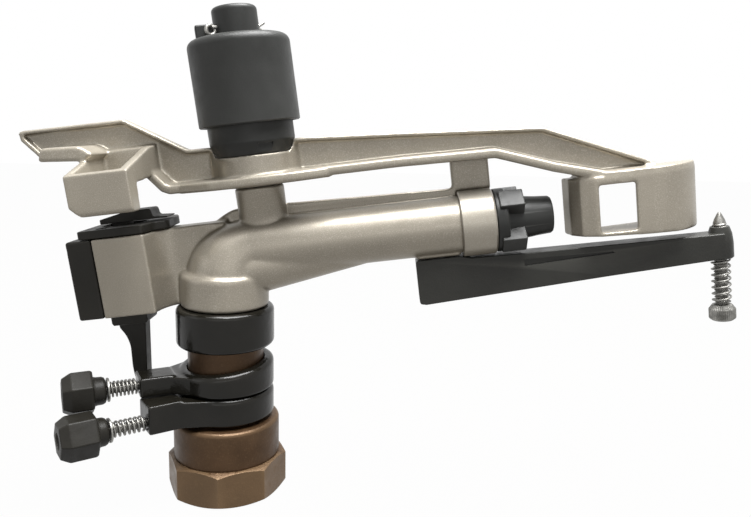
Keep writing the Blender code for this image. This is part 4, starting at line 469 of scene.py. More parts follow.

# %% [markdown]
# ## Finishes
# The casting is aluminium under a warm silver paint. Up close such paint is never one colour: it
# is a little cloudy, it holds fine bright flakes, and its skin is slightly uneven. Three noises on
# Object coordinates give those three scales. The sharp edges are painted lighter: a painted
# highlight along the rims. The same small helper serves the other finishes.

# %% Helpers for the finishes
def shader_input(finish, name):
    return finish.node_tree.nodes["Principled BSDF"].inputs[name]


def new_finish(name, metallic, roughness, specular=0.5):
    finish = bpy.data.materials.new(name)
    finish.use_nodes = True
    for key, value in (("Metallic", metallic), ("Roughness", roughness),
                       ("Specular IOR Level", specular)):
        shader_input(finish, key).default_value = value
    return finish


def add_node(finish, kind, **values):
    node = finish.node_tree.nodes.new(kind)
    for key, value in values.items():
        if hasattr(node, key):
            setattr(node, key, value)
        else:
            node.inputs[key].default_value = value
    return node


def link(finish, source, target):
    finish.node_tree.links.new(source, target)


def noise(finish, scale, detail=3.0, roughness=0.55):
    """A noise on Object coordinates; its scale is in waves to the metre."""
    place = add_node(finish, "ShaderNodeTexCoord")
    cloud = add_node(finish, "ShaderNodeTexNoise", Scale=scale, Detail=detail, Roughness=roughness)
    link(finish, place.outputs["Object"], cloud.inputs["Vector"])
    return cloud.outputs["Fac"]


def spread(finish, source, low, high, start=0.35, end=0.65):
    ranged = add_node(finish, "ShaderNodeMapRange")
    ranged.inputs["From Min"].default_value = start
    ranged.inputs["From Max"].default_value = end
    ranged.inputs["To Min"].default_value = low
    ranged.inputs["To Max"].default_value = high
    link(finish, source, ranged.inputs["Value"])
    return ranged.outputs["Result"]


def blend_colours(finish, factor, first, second):
    mix = add_node(finish, "ShaderNodeMix", data_type="RGBA")
    for socket, colour in ((mix.inputs[6], first), (mix.inputs[7], second)):
        if hasattr(colour, "is_linked"):
            link(finish, colour, socket)
        else:
            socket.default_value = (*colour, 1.0)
    link(finish, factor, mix.inputs[0])
    return mix.outputs[2]


def set_colour(finish, colour):
    link(finish, colour, shader_input(finish, "Base Color"))


def set_roughness(finish, value):
    link(finish, value, shader_input(finish, "Roughness"))


def add_bumps(finish, *layers):
    """Layers of (height source, depth in metres), each riding on the one before."""
    normal = None
    for source, depth in layers:
        bump = add_node(finish, "ShaderNodeBump")
        bump.inputs["Strength"].default_value = 1.0
        bump.inputs["Distance"].default_value = depth
        link(finish, source, bump.inputs["Height"])
        if normal is not None:
            link(finish, normal, bump.inputs["Normal"])
        normal = bump.outputs["Normal"]
    link(finish, normal, shader_input(finish, "Normal"))


def edges_of(finish, start, end):
    """High where the surface turns outwards sharply: a mask for edges painted lighter as a painted
    highlight, on the bronze partly as wear too.
    """
    shape = add_node(finish, "ShaderNodeNewGeometry")
    return spread(finish, shape.outputs["Pointiness"], 0.0, 1.0, start, end)


# %% Silver paint on cast aluminium
silver = new_finish("warm_silver_paint", 0.45, 0.38)
clouds = spread(silver, noise(silver, 22.0, 4.0), 0.0, 1.0)
flakes = spread(silver, noise(silver, 2600.0, 1.0), 0.0, 0.30, 0.52, 0.70)
paint = blend_colours(silver, clouds, (0.222, 0.200, 0.162), (0.268, 0.242, 0.197))
paint = blend_colours(silver, flakes, paint, (0.60, 0.57, 0.51))
# Painted highlight: the sharp edges are blended towards a lighter grey.
paint = blend_colours(silver, edges_of(silver, 0.54, 0.66), paint, (0.42, 0.40, 0.36))
set_colour(silver, paint)
set_roughness(silver, spread(silver, noise(silver, 90.0, 3.0), 0.34, 0.41))
add_bumps(silver, (noise(silver, 200.0, 2.0), 0.00007), (noise(silver, 1500.0, 2.0), 0.00003))
print("finish:", silver.name)

# %% [markdown]
# The inlet body is a bronze casting with a brown lacquer. The casting's grain is coarser than the
# head's. The edges are painted lighter: partly wear, where the lacquer is thin and the metal shines
# through, and partly a painted highlight along the rims.

# %% Brown bronze
bronze = new_finish("brown_bronze", 0.45, 0.42, specular=0.25)
patches = spread(bronze, noise(bronze, 60.0, 5.0), 0.0, 1.0, 0.32, 0.68)
brown = blend_colours(bronze, patches, (0.050, 0.027, 0.0125), (0.074, 0.041, 0.020))
flecks = spread(bronze, noise(bronze, 900.0, 2.0), 0.0, 0.22, 0.56, 0.72)
brown = blend_colours(bronze, flecks, brown, (0.15, 0.095, 0.05))
# Lighter edges: partly worn lacquer, partly a painted highlight on the rims.
brown = blend_colours(bronze, edges_of(bronze, 0.515, 0.60), brown, (0.34, 0.23, 0.13))
set_colour(bronze, brown)
set_roughness(bronze, spread(bronze, noise(bronze, 150.0, 4.0), 0.33, 0.48))
add_bumps(bronze, (noise(bronze, 260.0, 4.0), 0.00012), (noise(bronze, 1400.0, 2.0), 0.00005))
print("finish:", bronze.name)

# %% [markdown]
# Four blacks: a weathered plastic on the cap, the cup and the nozzle, a darker one on the knobs,
# the covers, the lever and the pawl, glossy paint on the collar and the stop rings, and a satin
# paint on the diffuser bar. They differ in gloss and grain more than in colour. Each has its sharp
# edges painted lighter, as a painted highlight.

# %% Blacks
def black_finish(name, dark, pale, low_rough, high_rough, grain_scale, grain_depth, wave_depth,
                 specular=0.25):
    finish = new_finish(name, 0.0, 0.4, specular)
    dust = spread(finish, noise(finish, 45.0, 5.0), 0.0, 1.0, 0.35, 0.75)
    black = blend_colours(finish, dust, dark, pale)
    # Painted highlight: the sharp edges are blended towards this lighter colour.
    edge_highlight = tuple(c * 2.2 + 0.012 for c in pale)
    black = blend_colours(finish, edges_of(finish, 0.53, 0.64), black, edge_highlight)
    set_colour(finish, black)
    set_roughness(finish, spread(finish, noise(finish, 130.0, 4.0), low_rough, high_rough))
    add_bumps(finish, (noise(finish, 300.0, 2.0), wave_depth),
              (noise(finish, grain_scale, 2.0), grain_depth))
    return finish


plastic = black_finish("weathered_black_plastic", (0.014, 0.0145, 0.0135), (0.022, 0.0225, 0.0215),
                       0.36, 0.50, 2400.0, 0.00005, 0.00005)
dark_plastic = black_finish("moulded_dark_plastic", (0.007, 0.0062, 0.0045), (0.013, 0.012, 0.009),
                            0.40, 0.55, 2000.0, 0.00004, 0.00005, specular=0.22)
gloss_black = black_finish("glossy_black_paint", (0.005, 0.0045, 0.003), (0.010, 0.009, 0.007),
                           0.14, 0.25, 900.0, 0.00003, 0.00012)
satin_black = black_finish("satin_black_paint", (0.017, 0.017, 0.015), (0.026, 0.026, 0.023),
                           0.30, 0.42, 1600.0, 0.00004, 0.00010)
print("finishes:", plastic.name, dark_plastic.name, gloss_black.name, satin_black.name)


# %% Plated steel, brass and rubber
steel = new_finish("zinc_plated_steel", 0.9, 0.4)
steel_tone = spread(steel, noise(steel, 300.0, 4.0), 0.0, 1.0)
set_colour(steel, blend_colours(steel, steel_tone, (0.17, 0.167, 0.155), (0.30, 0.293, 0.275)))
set_roughness(steel, spread(steel, noise(steel, 900.0, 3.0), 0.32, 0.50))
add_bumps(steel, (noise(steel, 1800.0, 2.0), 0.00003))

brass = new_finish("turned_brass", 1.0, 0.3)
brass_tone = spread(brass, noise(brass, 200.0, 4.0), 0.0, 1.0)
set_colour(brass, blend_colours(brass, brass_tone, (0.50, 0.34, 0.13), (0.66, 0.48, 0.20)))
set_roughness(brass, spread(brass, noise(brass, 700.0, 3.0), 0.22, 0.40))
add_bumps(brass, (noise(brass, 1500.0, 2.0), 0.00003))

rubber = black_finish("seal_rubber_black", (0.014, 0.014, 0.014), (0.028, 0.027, 0.026),
                      0.55, 0.75, 1800.0, 0.00006, 0.00004)
print("finishes:", steel.name, brass.name, rubber.name)

# %% [markdown]
# ## The inlet body
# At the bottom is an octagon for a spanner. Such a nut is milled from a turned blank, so its
# corners end in small arcs. The way to get those arcs is the real one: an eight-sided prism is
# intersected with a turned blank that has sloping ends. The shoulder and the sleeve are turned, and
# the socket with its thread grooves is cut out of the foot.

# %% Octagon, shoulder and sleeve
FLATS = 60.0
corner = FLATS / 2 / math.cos(math.pi / 8)
octagon = turned("inlet_body", [(corner, 0.0), (corner, 20.0)], spun(4.5), sides=8)
blank = turned("blank", [(29.2, 0.0), (33.2, 2.3), (33.2, 17.7), (29.0, 20.0)], sides=128)
use_tools(octagon, [blank], "INTERSECT")
shoulder = turned("shoulder",
                  [(27.4, 17.0), (28.2, 19.6), (28.6, 21.2)] + rounding(26.2, 38.6, 2.4, 0, 78, 5)
                  + [(24.0, 41.4), (21.6, 41.9), (20.5, 43.0), (20.3, 44.2), (20.3, 93.4),
                     (19.7, 94.0)], sides=128)
weld_on(octagon, shoulder)
socket = [(24.6, -1.0), (24.5, 0.0), (22.5, 1.6)]
for turn in range(7):
    groove = 2.0 + turn * 2.309
    socket += [(22.4, groove), (23.7, groove + 0.9), (23.7, groove + 1.1), (22.4, groove + 2.0)]
socket += [(22.4, 21.0), (14.8, 22.0), (14.8, 61.0), (17.0, 63.0), (17.0, 95.0)]
cut_out(octagon, turned("socket_cutter", socket, sides=96))
round_edges(octagon, 0.35 * MM, 2, 40.0)
smooth(octagon, 40.0)
dress(octagon, bronze, "base", "inlet_body", "inlet_sleeve")

# %% [markdown]
# ## The bearing collar
# A ring nut that holds the turning head on the sleeve. It is a turned ring with eased edges.

# %% Bearing collar
collar = turned("bearing_collar", [(20.6, 82.3), (23.6, 82.3)] + rounding(23.6, 84.8, 2.5, -80, 0, 4)
                + rounding(23.4, 100.7, 2.7, 0, 84, 5) + [(17.2, 103.5), (17.2, 99.8), (20.6, 99.8)],
                tube=True, sides=128)
smooth(collar, 40.0)
dress(collar, gloss_black, "base")

# %% [markdown]
# ## The stop rings
# Two black castings clamp round the sleeve and set how far the gun turns. Each is a band with a
# block for its clamp screw, and two sloping cheeks lead from one to the other. The upper band is
# cut at a slant, so that it falls towards its block. A fine remesh gives the soft corners that
# casting and paint leave.

# %% Stop rings
STOPS = {
    "lower": dict(turn=36.4, offset=4.0, screw=47.6, low=43.2, band=58.4, block=58.4, spring=16.5,
                  hub=5.2, head=17.6),
    "upper": dict(turn=28.4, offset=-2.0, screw=63.4, low=58.8, band=75.2, block=69.2, spring=13.6,
                  hub=6.0, head=14.6),
}
BAND, BLOCK_END, BLOCK_HALF = 25.8, 46.4, 8.0
CHEEK_X, CHEEK_Y = BAND * math.cos(math.radians(66)), BAND * math.sin(math.radians(66))


def ring_frame(stop):
    """X runs outwards along the clamp screw and Z is up."""
    return spun(180 + stop["turn"])


def screw_frame(stop):
    """Z runs outwards along the clamp screw."""
    return (ring_frame(stop) @ at(0, stop["offset"], stop["screw"])
            @ spun(90, "Y"))


for label, stop in STOPS.items():
    low, high, offset = stop["low"], stop["band"], stop["offset"]
    band = turned(f"stop_ring_{label}", [(25.0, low), (BAND, low + 0.9), (BAND, high + 1.0)], sides=128)
    fall = high - stop["block"]
    slope = Vector((fall / (2 * BAND), 0, 1)).normalized()
    select_only(band)
    edit_all()
    bpy.ops.mesh.bisect(plane_co=(0, 0, (high - fall / 2) * MM), plane_no=slope, use_fill=True,
                        clear_outer=True)
    bpy.ops.mesh.bevel(offset=3.2 * MM, segments=6, affect="EDGES")
    bpy.ops.object.mode_set(mode="OBJECT")
    cheeks = plate("cheeks", [
        (CHEEK_X - 1.0, CHEEK_Y - 0.6), (BAND + 6.2, offset + BLOCK_HALF - 0.6),
        (BAND + 6.2, offset - BLOCK_HALF + 0.6), (CHEEK_X - 1.0, -CHEEK_Y + 0.6),
    ], low + 0.4, stop["block"] - 0.8, plane="XY")
    block = brick("block", (BAND + 2.2, BLOCK_END), (offset - BLOCK_HALF, offset + BLOCK_HALF),
                  (low, stop["block"]), edge=0.9, segments=3)
    weld_on(band, cheeks, block)
    bore(band, 20.62, low - 2, high + 3, sides=128)
    bore(band, 2.6, 12.0, BLOCK_END + 3.0, ring_frame(stop).inverted() @ screw_frame(stop), 32)
    settle(band, ring_frame(stop))
    cast(band, 0.55, 3)
    dress(band, gloss_black, f"{label}_stop")

# %% [markdown]
# ## Clamp screws, their springs, washers and knobs
# Each ring is clamped by a long screw with a moulded hexagonal knob. A small spring between the
# block and a washer keeps the knob from working loose. The knob is a six-sided prism with well
# rounded edges, a dished face and a round hub.

# %% Clamp screws and knobs
for label, stop in STOPS.items():
    place = screw_frame(stop)
    spring_end = BLOCK_END + 0.3 + stop["spring"]
    washer_end = spring_end + 1.2
    knob_start = washer_end + 0.6
    hub_end = knob_start + stop["hub"]
    knob_end = hub_end + stop["head"]

    spring = coil(f"stop_spring_{label}", 3.7, 0.55, BLOCK_END + 0.3, spring_end - 0.1, 6.5, place)
    dress(spring, steel, f"{label}_stop")

    washer = turned(f"stop_washer_{label}",
                    [(2.8, spring_end + 0.1), (6.0, spring_end + 0.1), (6.2, spring_end + 0.3),
                                             (6.2, washer_end - 0.2), (6.0, washer_end),
                     (2.8, washer_end)],
                    place, sides=64, tube=True)
    smooth(washer)
    dress(washer, steel, f"{label}_clamp")

    tip = 20.9 if label == "upper" else 21.2
    rod = thread(f"stop_screw_{label}", 2.5, 2.1, 1.0, tip + 0.6, knob_end - 5.0)
    weld_on(rod, turned("rod_tip", [(1.7, tip), (2.15, tip + 0.5), (2.15, tip + 1.4)], sides=40))
    settle(rod, place)
    smooth(rod, 30.0)
    dress(rod, steel, f"{label}_clamp")

    hexagon = turned(f"stop_knob_{label}",
                     [(10.8, hub_end), (11.6, hub_end + 1.0), (11.6, knob_end - 4.4),
                                            (9.0, knob_end)], sides=6)
    if label == "upper":
        settle(hexagon, spun(30))
    round_edges(hexagon, 0.6 * MM, 3, 25.0)
    dish = turned("dish", [(4.2, knob_end + 1.0), (4.2, knob_end - 0.5), (3.6, knob_end - 1.1),
                           (1.0, knob_end - 1.3)],
                  sides=64)
    cut_out(hexagon, dish)
    hub = turned("hub", [(5.4, knob_start), (6.5, knob_start + 0.5), (7.1, knob_start + 1.8),
                         (7.2, hub_end - 1.4), (8.2, hub_end + 1.4)], sides=64)
    weld_on(hexagon, hub)
    bore(hexagon, 2.8, knob_start - 1.0, knob_end - 4.0, sides=40)
    round_edges(hexagon, 0.25 * MM, 2, 38.0)
    settle(hexagon, place)
    smooth(hexagon, 38.0)
    dress(hexagon, dark_plastic, f"{label}_clamp")

# %% [markdown]
# ## The head casting
# The cup, the elbow, the barrel, the pivot post, the rear rib, the stop post and the mechanism
# housing are one casting. The lumps are made plain and level, welded and hollowed, and then melted
# together by a fine remesh, which gives the soft inner corners of a real casting. The post's foot
# is flattened where it meets the barrel, and the stop post stands beside its ring. The elbow is the
# interesting lump: a ring of points is spun round the centre of the bend, each ring it leaves is
# scaled towards the barrel's size, and the last one is drawn out along the barrel.

# %% Frames for level work
level = on_barrel.inverted()
TRIP_PIN = (3.0, -17.0)
PAWL_PIN = (2.0, 10.0)


def lying(y, h):
    """For a piece turned along Z that has to lie along the barrel."""
    return at(0, y, h) @ spun(90, "Y")


def standing(s, y=0.0):
    return at(s, y, 0)


on_post = standing(PIVOT)


def bent_pipe(name, foot_radius, barrel_radius, start, end, sides=96, steps=18):
    """A pipe that rises along the swivel axis, bends and runs out along the barrel, in millimetres."""
    bend_radius = 22.0 * MM
    bend = math.pi / 2 - RISE
    foot = AXIS_HEIGHT - bend_radius * math.tan(bend / 2)
    select_only()
    bpy.ops.mesh.primitive_circle_add(vertices=sides, radius=foot_radius * MM,
                                      location=(0, 0, start * MM))
    piece = named(name)
    settle(piece)
    edit_all()
    bpy.ops.mesh.extrude_edges_move(TRANSFORM_OT_translate={"value": (0, 0, foot - start * MM)})
    bpy.ops.mesh.spin(steps=steps, angle=-bend, center=(bend_radius, 0, foot), axis=(0, 1, 0))
    for k in range(1, steps + 1):
        turn = bend * k / steps
        middle = Vector((bend_radius * (1 - math.cos(turn)), 0, foot + bend_radius * math.sin(turn)))
        ahead = Vector((math.sin(turn), 0, math.cos(turn)))
        part = min(max((turn / bend - 0.3) / 0.7, 0.0), 1.0)
        ease = part * part * (3 - 2 * part)
        grow = 1 + (barrel_radius / foot_radius - 1) * ease
        mesh = bmesh.from_edit_mesh(piece.data)
        bpy.ops.mesh.select_all(action="DESELECT")
        for vert in mesh.verts:
            away = vert.co - middle
            vert.select_set(abs(away.dot(ahead)) < 1e-6 and away.length < foot_radius * 1.1 * MM)
        mesh.select_flush_mode()
        bpy.ops.transform.resize(value=(grow, grow, grow), center_override=middle)
    far = on_barrel @ Vector((end * MM, 0, 0))
    bpy.ops.mesh.extrude_edges_move(TRANSFORM_OT_translate={"value": far - middle})
    for height in (0, 1):
        mesh = bmesh.from_edit_mesh(piece.data)
        rim = [edge for edge in mesh.edges if edge.is_boundary]
        bpy.ops.mesh.select_all(action="DESELECT")
        for edge in rim:
            edge.select_set((edge.verts[0].co.x > 30.0 * MM) == bool(height))
        bpy.ops.mesh.edge_face_add()
    close_up()
    return settle(piece, level)


# %% Head casting
head = turned("head_casting", [(22.5, 103.8), (23.3, 104.6)] + rounding(20.5, 119.2, 2.8, 0, 84, 5)
              + [(18.6, 122.5)], level, sides=128)
elbow = bent_pipe("elbow", 20.4, 15.0, 108.0, 125.9)
spigot = turned("spigot", [(14.6, 120.0), (14.6, 136.4), (14.0, 137.0)], lying(0, 0))
web = turned("web", [(16.4, 0.0), (8.0, 68.06)],
             at(8.0, 0, -9.8) @ Matrix.Rotation(math.pi / 2 - 0.0412, 4, "Y"), sides=64)
post = turned("post", [(12.8, 4.0), (12.8, 13.0), (12.8, 17.0), (12.8, 31.5), (12.3, 32.0)], on_post)
select_only(post)
bpy.ops.object.mode_set(mode="EDIT")
mesh = bmesh.from_edit_mesh(post.data)
for vert in mesh.verts:
    vert.select_set(vert.co.z < 18.0 * MM)
mesh.select_flush_mode()
bpy.ops.transform.resize(value=(1.0, 0.66, 1.0), center_override=(PIVOT * MM, 0, 0))
bpy.ops.object.mode_set(mode="OBJECT")
rib = plate("rib", [(-8, 8), (143.2, 8), (143.2, 19.8), (143.2, 20.0), (143.2, 27.4), (125.2, 27.4),
                    (124.6, 18.8),
                    (120.3, 18.7), (PIVOT, 21.2), (7, 20.8), (0.0, 18.4), (-8, 12.5)], 5.8, 9.4,
            corners={9: 5.0, 10: 5.0})
stop_post = brick("stop_post", (124.3, 144.6), (5.6, 12.0), (10.0, 44.0), edge=1.0, segments=3)
quarter = [math.pi / 2 * k / 10 for k in range(11)]
near_flare = [(-24.6 - 10.0 * math.cos(a), -19.0 + 15.0 * math.sin(a)) for a in quarter]
far_flare = [(-24.6 - 10.0 * math.cos(a), 19.0 - 10.0 * math.sin(a)) for a in reversed(quarter)]
bracket = plate("bracket", [(-40.0, 20.0), (-40.0, -20.0), (-34.6, -20.0)] + near_flare
                + [(3.0, -3.0), (3.0, 8.8)] + far_flare + [(-34.6, 20.0)], -25.7, 15.6, plane="XY")
box = brick("box", (-61.8, -35.6), (-20.0, 20.0), (-25.7, 15.6))
pad = brick("pad", (101.4, 124.6), (-5.9, 5.9), (-15.8, -9.0), edge=0.6)
weld_on(head, elbow, spigot, web, post, rib, stop_post, bracket, box, pad)
cut_out(head, turned("ring_room", [(15.3, 125.6), (17.9, 125.6), (17.9, 152.0), (15.3, 152.0)],
                     lying(0, 0), tube=True),
        bent_pipe("way", 13.4, 12.4, 112.6, 121.0, sides=64),
        turned("mouth", [(12.4, 119.0), (11.4, 124.0), (11.4, 138.0)], lying(0, 0), sides=64),
        turned("seat", [(16.8, 102.0), (16.8, 113.3)], level, sides=64),
        brick("room", (-63.0, -38.0), (-15.4, 15.4), (-22.5, 12.4)),
        brick("lever_slot", (-63.0, -45.0), (-5.0, 11.0), (-27.0, -21.0)),
        brick("pawl_slot", (-63.0, -40.0), (-5.0, 9.0), (11.0, 17.0)),
        turned("pivot_bore", [(5.4, 17.0), (5.4, 33.0)], on_post, sides=40),
        turned("trip_bore", [(2.5, -39.0), (2.5, -30.6)], lying(*TRIP_PIN), sides=24),
        turned("pawl_bore", [(2.5, -39.0), (2.5, -30.6)], lying(*PAWL_PIN), sides=24))
cast(head, 0.8, 6)
settle(head, on_barrel)
dress(head, silver, "head", "head_casting", "mechanism_housing")

# %% [markdown]
# ## Ring and nozzle
# A turned ring screws over the end of the barrel and carries the nozzle. The nozzle is moulded: a
# flange with four lugs for a spanner, then a cone. One lug is modelled and copied round the jet.

# %% Barrel ring and main nozzle
ring = turned("barrel_ring",
              [(14.9, 126.0), (16.9, 126.0), (17.3, 126.4), (17.3, 142.7), (16.5, 143.6), (13.1, 143.6),
               (13.1, 137.4), (14.9, 137.4)],
              on_barrel @ lying(0, 0), sides=128, tube=True)
smooth(ring, 40.0)
dress(ring, silver, "head")

nozzle = turned("main_nozzle", [(12.2, 138.8), (12.7, 139.3), (12.7, 143.9), (16.0, 143.9), (16.5, 144.4),
                                (16.5, 149.3), (15.8, 150.0), (12.4, 150.0), (11.6, 152.0), (11.2, 158.4),
                                (10.3, 166.0), (9.8, 172.6), (9.1, 173.6)], sides=128)
lug = brick("lug", (6.0, 17.6), (-5.2, 5.2), (145.8, 158.4), edge=0.7, segments=3)
lugs = [copy_of(lug, "lug_copy", spun(45 + 90 * k)) for k in range(4)]
discard(lug)
weld_on(nozzle, *lugs)
cut_out(nozzle, turned("jet_way",
                       [(11.4, 137.8), (11.4, 142.0), (7.0, 167.6), (7.0, 172.8), (7.6, 174.6)],
                       sides=96))
round_edges(nozzle, 0.3 * MM, 2, 40.0)
settle(nozzle, on_barrel @ lying(0, 0))
smooth(nozzle, 40.0)
dress(nozzle, plastic, "head")

# %% [markdown]
# ## The reversing mechanism's covers
# The housing is closed by a moulded end cover with a dished face, and by a lid with a slot for the
# pawl. Small slotted screws hold both.

# %% End cover, top cover and their screws
end_cover = brick("end_cover", (-75.2, -62.1), (-20.0, 20.0), (-25.7, 15.6), edge=1.3, segments=4)
cut_out(end_cover, brick("cover_room", (-72.2, -60.8), (-14.0, 14.0), (-22.7, 12.6)),
        brick("cover_notch", (-71.8, -60.0), (-5.0, 11.0), (-27.0, -21.0)))
COVER_SCREWS = ((-16.4, 11.0), (16.4, -19.0))
for y, h in COVER_SCREWS:
    cut_out(end_cover, turned("counterbore", [(3.25, -76.5), (3.25, -72.8), (1.7, -72.8), (1.7, -60.0)],
                              lying(y, h), sides=40))
settle(end_cover, on_barrel)
smooth(end_cover, 35.0)
dress(end_cover, dark_plastic, "head")

top_cover = plate("top_cover",
                  [(-68.5, -19.6), (-35.0, -19.6), (-32.6, -10.0), (-25.5, -5.4), (-25.5, 13.0),
                                (-28.5, 22.0), (-68.5, 22.0)], 15.9, 20.3, plane="XY",
                  corners={0: 1.5, 1: 1.2, 2: 2.0, 3: 2.0, 4: 1.5, 5: 2.5, 6: 1.5})
round_edges(top_cover, 0.7 * MM, 3, 40.0)
cut_out(top_cover, brick("cover_slot", (-62.0, -40.0), (-5.0, 9.0), (14.0, 22.0)))
LID_SCREWS = ((-57.0, -14.5), (-57.0, 16.4))
for s, y in LID_SCREWS:
    cut_out(top_cover, turned("screw_hole", [(1.75, 14.0), (1.75, 18.0), (3.3, 18.0), (3.3, 22.0)],
                              standing(s, y), sides=40))
round_edges(top_cover, 0.2 * MM, 2, 40.0)
settle(top_cover, on_barrel)
smooth(top_cover, 35.0)
dress(top_cover, dark_plastic, "head")


def slotted_screw(name, length, shank, place):
    """A pan-head screw in millimetres: its seat is at zero, the head looks up and the shank goes down."""
    screw = turned(name, [(0.7, -length), (shank, -length + 1.2), (shank, 0.0), (2.8, 0.0), (3.0, 0.2),
                          (2.95, 0.8),
                          (2.6, 1.3), (1.8, 1.65), (0.6, 1.7)], sides=48)
    cut_out(screw, brick("slot", (-4.0, 4.0), (-0.4, 0.4), (0.8, 3.0)))
    settle(screw, place)
    smooth(screw, 35.0)
    return screw


end_seat = spun(-90, "Y")
for k, (y, h) in enumerate(COVER_SCREWS):
    screw = slotted_screw(f"end_cover_screw_{k + 1}", 18.0, 1.2,
                          on_barrel @ at(-72.9, y, h) @ end_seat
                          @ spun(25 + 70 * k))
    dress(screw, steel, "head")
for k, (s, y) in enumerate(LID_SCREWS):
    screw = slotted_screw(f"top_cover_screw_{k + 1}", 11.0, 1.5,
                          on_barrel @ at(s, y, 18.1)
                          @ spun(-30 + 50 * k))
    dress(screw, steel, "head")

# %% [markdown]
# ## Trip lever and reversing pawl
# The lever hangs out of the housing: its flange closes the slot and its finger reaches down to the
# stops. The pawl rides on the lid, where the arm's tail can hit it. Both turn on pins along the
# barrel.

# %% Trip lever and pawl
trip = plate("trip_lever",
             [(-65.4, -32.2), (-64.6, -33.6), (-46.8, -33.6), (-45.8, -32.6), (-45.8, -28.4),
                            (-65.4, -28.4)], -5.0, 11.0, on_barrel)
round_edges(trip, 0.5 * MM, 3, 30.0)
finger = plate("finger", [(-43.6, 96.0), (-58.6, 92.0), (-57.6, 88.4), (-52.4, 82.0), (-51.2, 62.6),
                          (-48.2, 55.0),
                          (-47.2, 54.0), (-44.0, 54.0), (-43.4, 55.0)], -1.0, 7.0,
               corners={3: 5.0, 4: 6.0})
round_edges(finger, 0.7 * MM, 3, 30.0)
neck = brick("neck", (-57.4, -47.6), (-0.4, 6.4), (-29.4, -5.0), on_barrel, edge=0.5)
eye = turned("eye", [(5.2, -58.0), (5.2, -47.0)], on_barrel @ lying(*TRIP_PIN), sides=64)
weld_on(trip, finger, neck, eye)
bore(trip, 2.08, -60.0, -45.0, on_barrel @ lying(*TRIP_PIN), 48)
smooth(trip, 35.0)
dress(trip, dark_plastic, "trip")

pawl = plate("reversing_pawl",
             [(-62.0, 21.5), (-26.0, 21.5), (-26.0, 22.2), (-33.6, 22.7), (-34.4, 27.1), (-46.6, 27.1),
                                (-62.0, 23.9)], -4.5, 8.5, on_barrel, corners={3: 1.2, 4: 1.2, 5: 2.5})
round_edges(pawl, 0.6 * MM, 3, 30.0)
pawl_neck = brick("pawl_neck", (-57.4, -47.6), (-1.0, 5.0), (1.0, 22.5), on_barrel, edge=0.5)
pawl_eye = turned("pawl_eye", [(4.6, -58.0), (4.6, -47.0)], on_barrel @ lying(*PAWL_PIN), sides=64)
weld_on(pawl, pawl_neck, pawl_eye)
bore(pawl, 2.08, -60.0, -45.0, on_barrel @ lying(*PAWL_PIN), 48)
smooth(pawl, 35.0)
dress(pawl, dark_plastic, "pawl")

# %% [markdown]
# ## The drive arm
# The arm is one casting too: a thin web between two flanges, a hub, a weight box at its tail and a
# deflector at its tip. The deflector is the clever part. Water from the nozzle strikes the splitter
# wall, leaves through the window and turns along the curved vane, and that pushes the arm aside
# against its spring. The flanges are strips that follow the beam's lines, so a small function
# moves a line sideways to make a strip's other edge. An apron in front of the hub and flat sides
# beside it join the hub to the web, and a short rim ends the tail.

# %% Lines of the arm
TOP_LINE = [(-95.6, 74.2), (-41.5, 73.9), (-10.8, 54.8), (0.4, 54.6), (46.4, 54.4), (52.0, 54.2),
            (99.8, 50.9),
            (172.6, 45.3), (228.6, 21.3)]
BOTTOM_LINE = [(202.6, 14.8), (174.8, 22.6), (146.0, 32.9), (98.0, 33.9), (-20.6, 33.4), (-24.6, 35.2),
               (-31.4, 43.6),
               (-39.0, 52.0), (-52.0, 54.6), (-86.6, 57.6), (-96.4, 69.2), (-96.8, 73.0)]


def beside(line, distance):
    """The line moved sideways, to the right of its own direction."""
    moved = []
    for i, (x, z) in enumerate(line):
        before, after = Vector(line[max(i - 1, 0)]), Vector(line[min(i + 1, len(line) - 1)])
        here = Vector((x, z))
        into = (here - before).normalized() if i else (after - here).normalized()
        out_of = (after - here).normalized() if i < len(line) - 1 else into
        sides = [Vector((step.y, -step.x)) for step in (into, out_of)]
        middle = (sides[0] + sides[1]).normalized()
        moved.append(tuple(here + middle * (distance / max(middle.dot(sides[0]), 0.5))))
    return moved


def round_arc(centre, radius, start, end, steps):
    """Points in millimetres on an arc, in degrees."""
    return [(centre[0] + radius * math.cos(math.radians(start + (end - start) * k / steps)),
             centre[1] + radius * math.sin(math.radians(start + (end - start) * k / steps)))
            for k in range(steps + 1)]


# %% Beam, hub and weight box
web_top = beside(TOP_LINE, 1.0)
web_bottom = beside(BOTTOM_LINE, 1.0)
arm = plate("drive_arm", web_top + [(227.0, 13.6)] + web_bottom, 1.0, 5.2)
top_flange = plate("top_flange", TOP_LINE + beside(TOP_LINE, 2.0)[::-1], -2.6, 5.1)
bottom_flange = plate("bottom_flange", BOTTOM_LINE[:7] + beside(BOTTOM_LINE[:7], 4.8)[::-1], -12.6, 5.1)
tail_rim = plate("tail_rim", BOTTOM_LINE[-3:] + beside(BOTTOM_LINE[-3:], 2.4)[::-1], -2.5, 5.0)
round_edges(bottom_flange, 1.3 * MM, 3, 60.0)
hub = turned("hub", [(18.4, 32.6), (19.4, 33.6), (19.4, 54.4)], on_post)
apron = plate("apron", [(-16.0, -12.0), (2.0, -19.4), (12.0, -21.0), (35.0, -21.0), (45.0, -19.4),
                        (63.0, -12.0),
                        (63.0, 2.0), (-16.0, 2.0)], 33.0, 38.2, plane="XY", corners={2: 3.0, 3: 3.0})
round_edges(apron, 1.2 * MM, 3, 60.0)
hub_sides = plate("hub_sides", [(-1.4, 3.0), (4.4, -5.6), (42.4, -5.6), (48.2, 3.0)], 34.0, 54.3,
                  plane="XY")
lip = plate("lip", [(-78.8, 57.0), (-56.0, 54.9), (-50.4, 57.6), (-57.0, 62.6), (-76.6, 63.6)], -24.0,
            2.0,
            corners={2: 2.5, 3: 2.5, 4: 2.0})
round_edges(lip, 2.4 * MM, 4, 60.0)
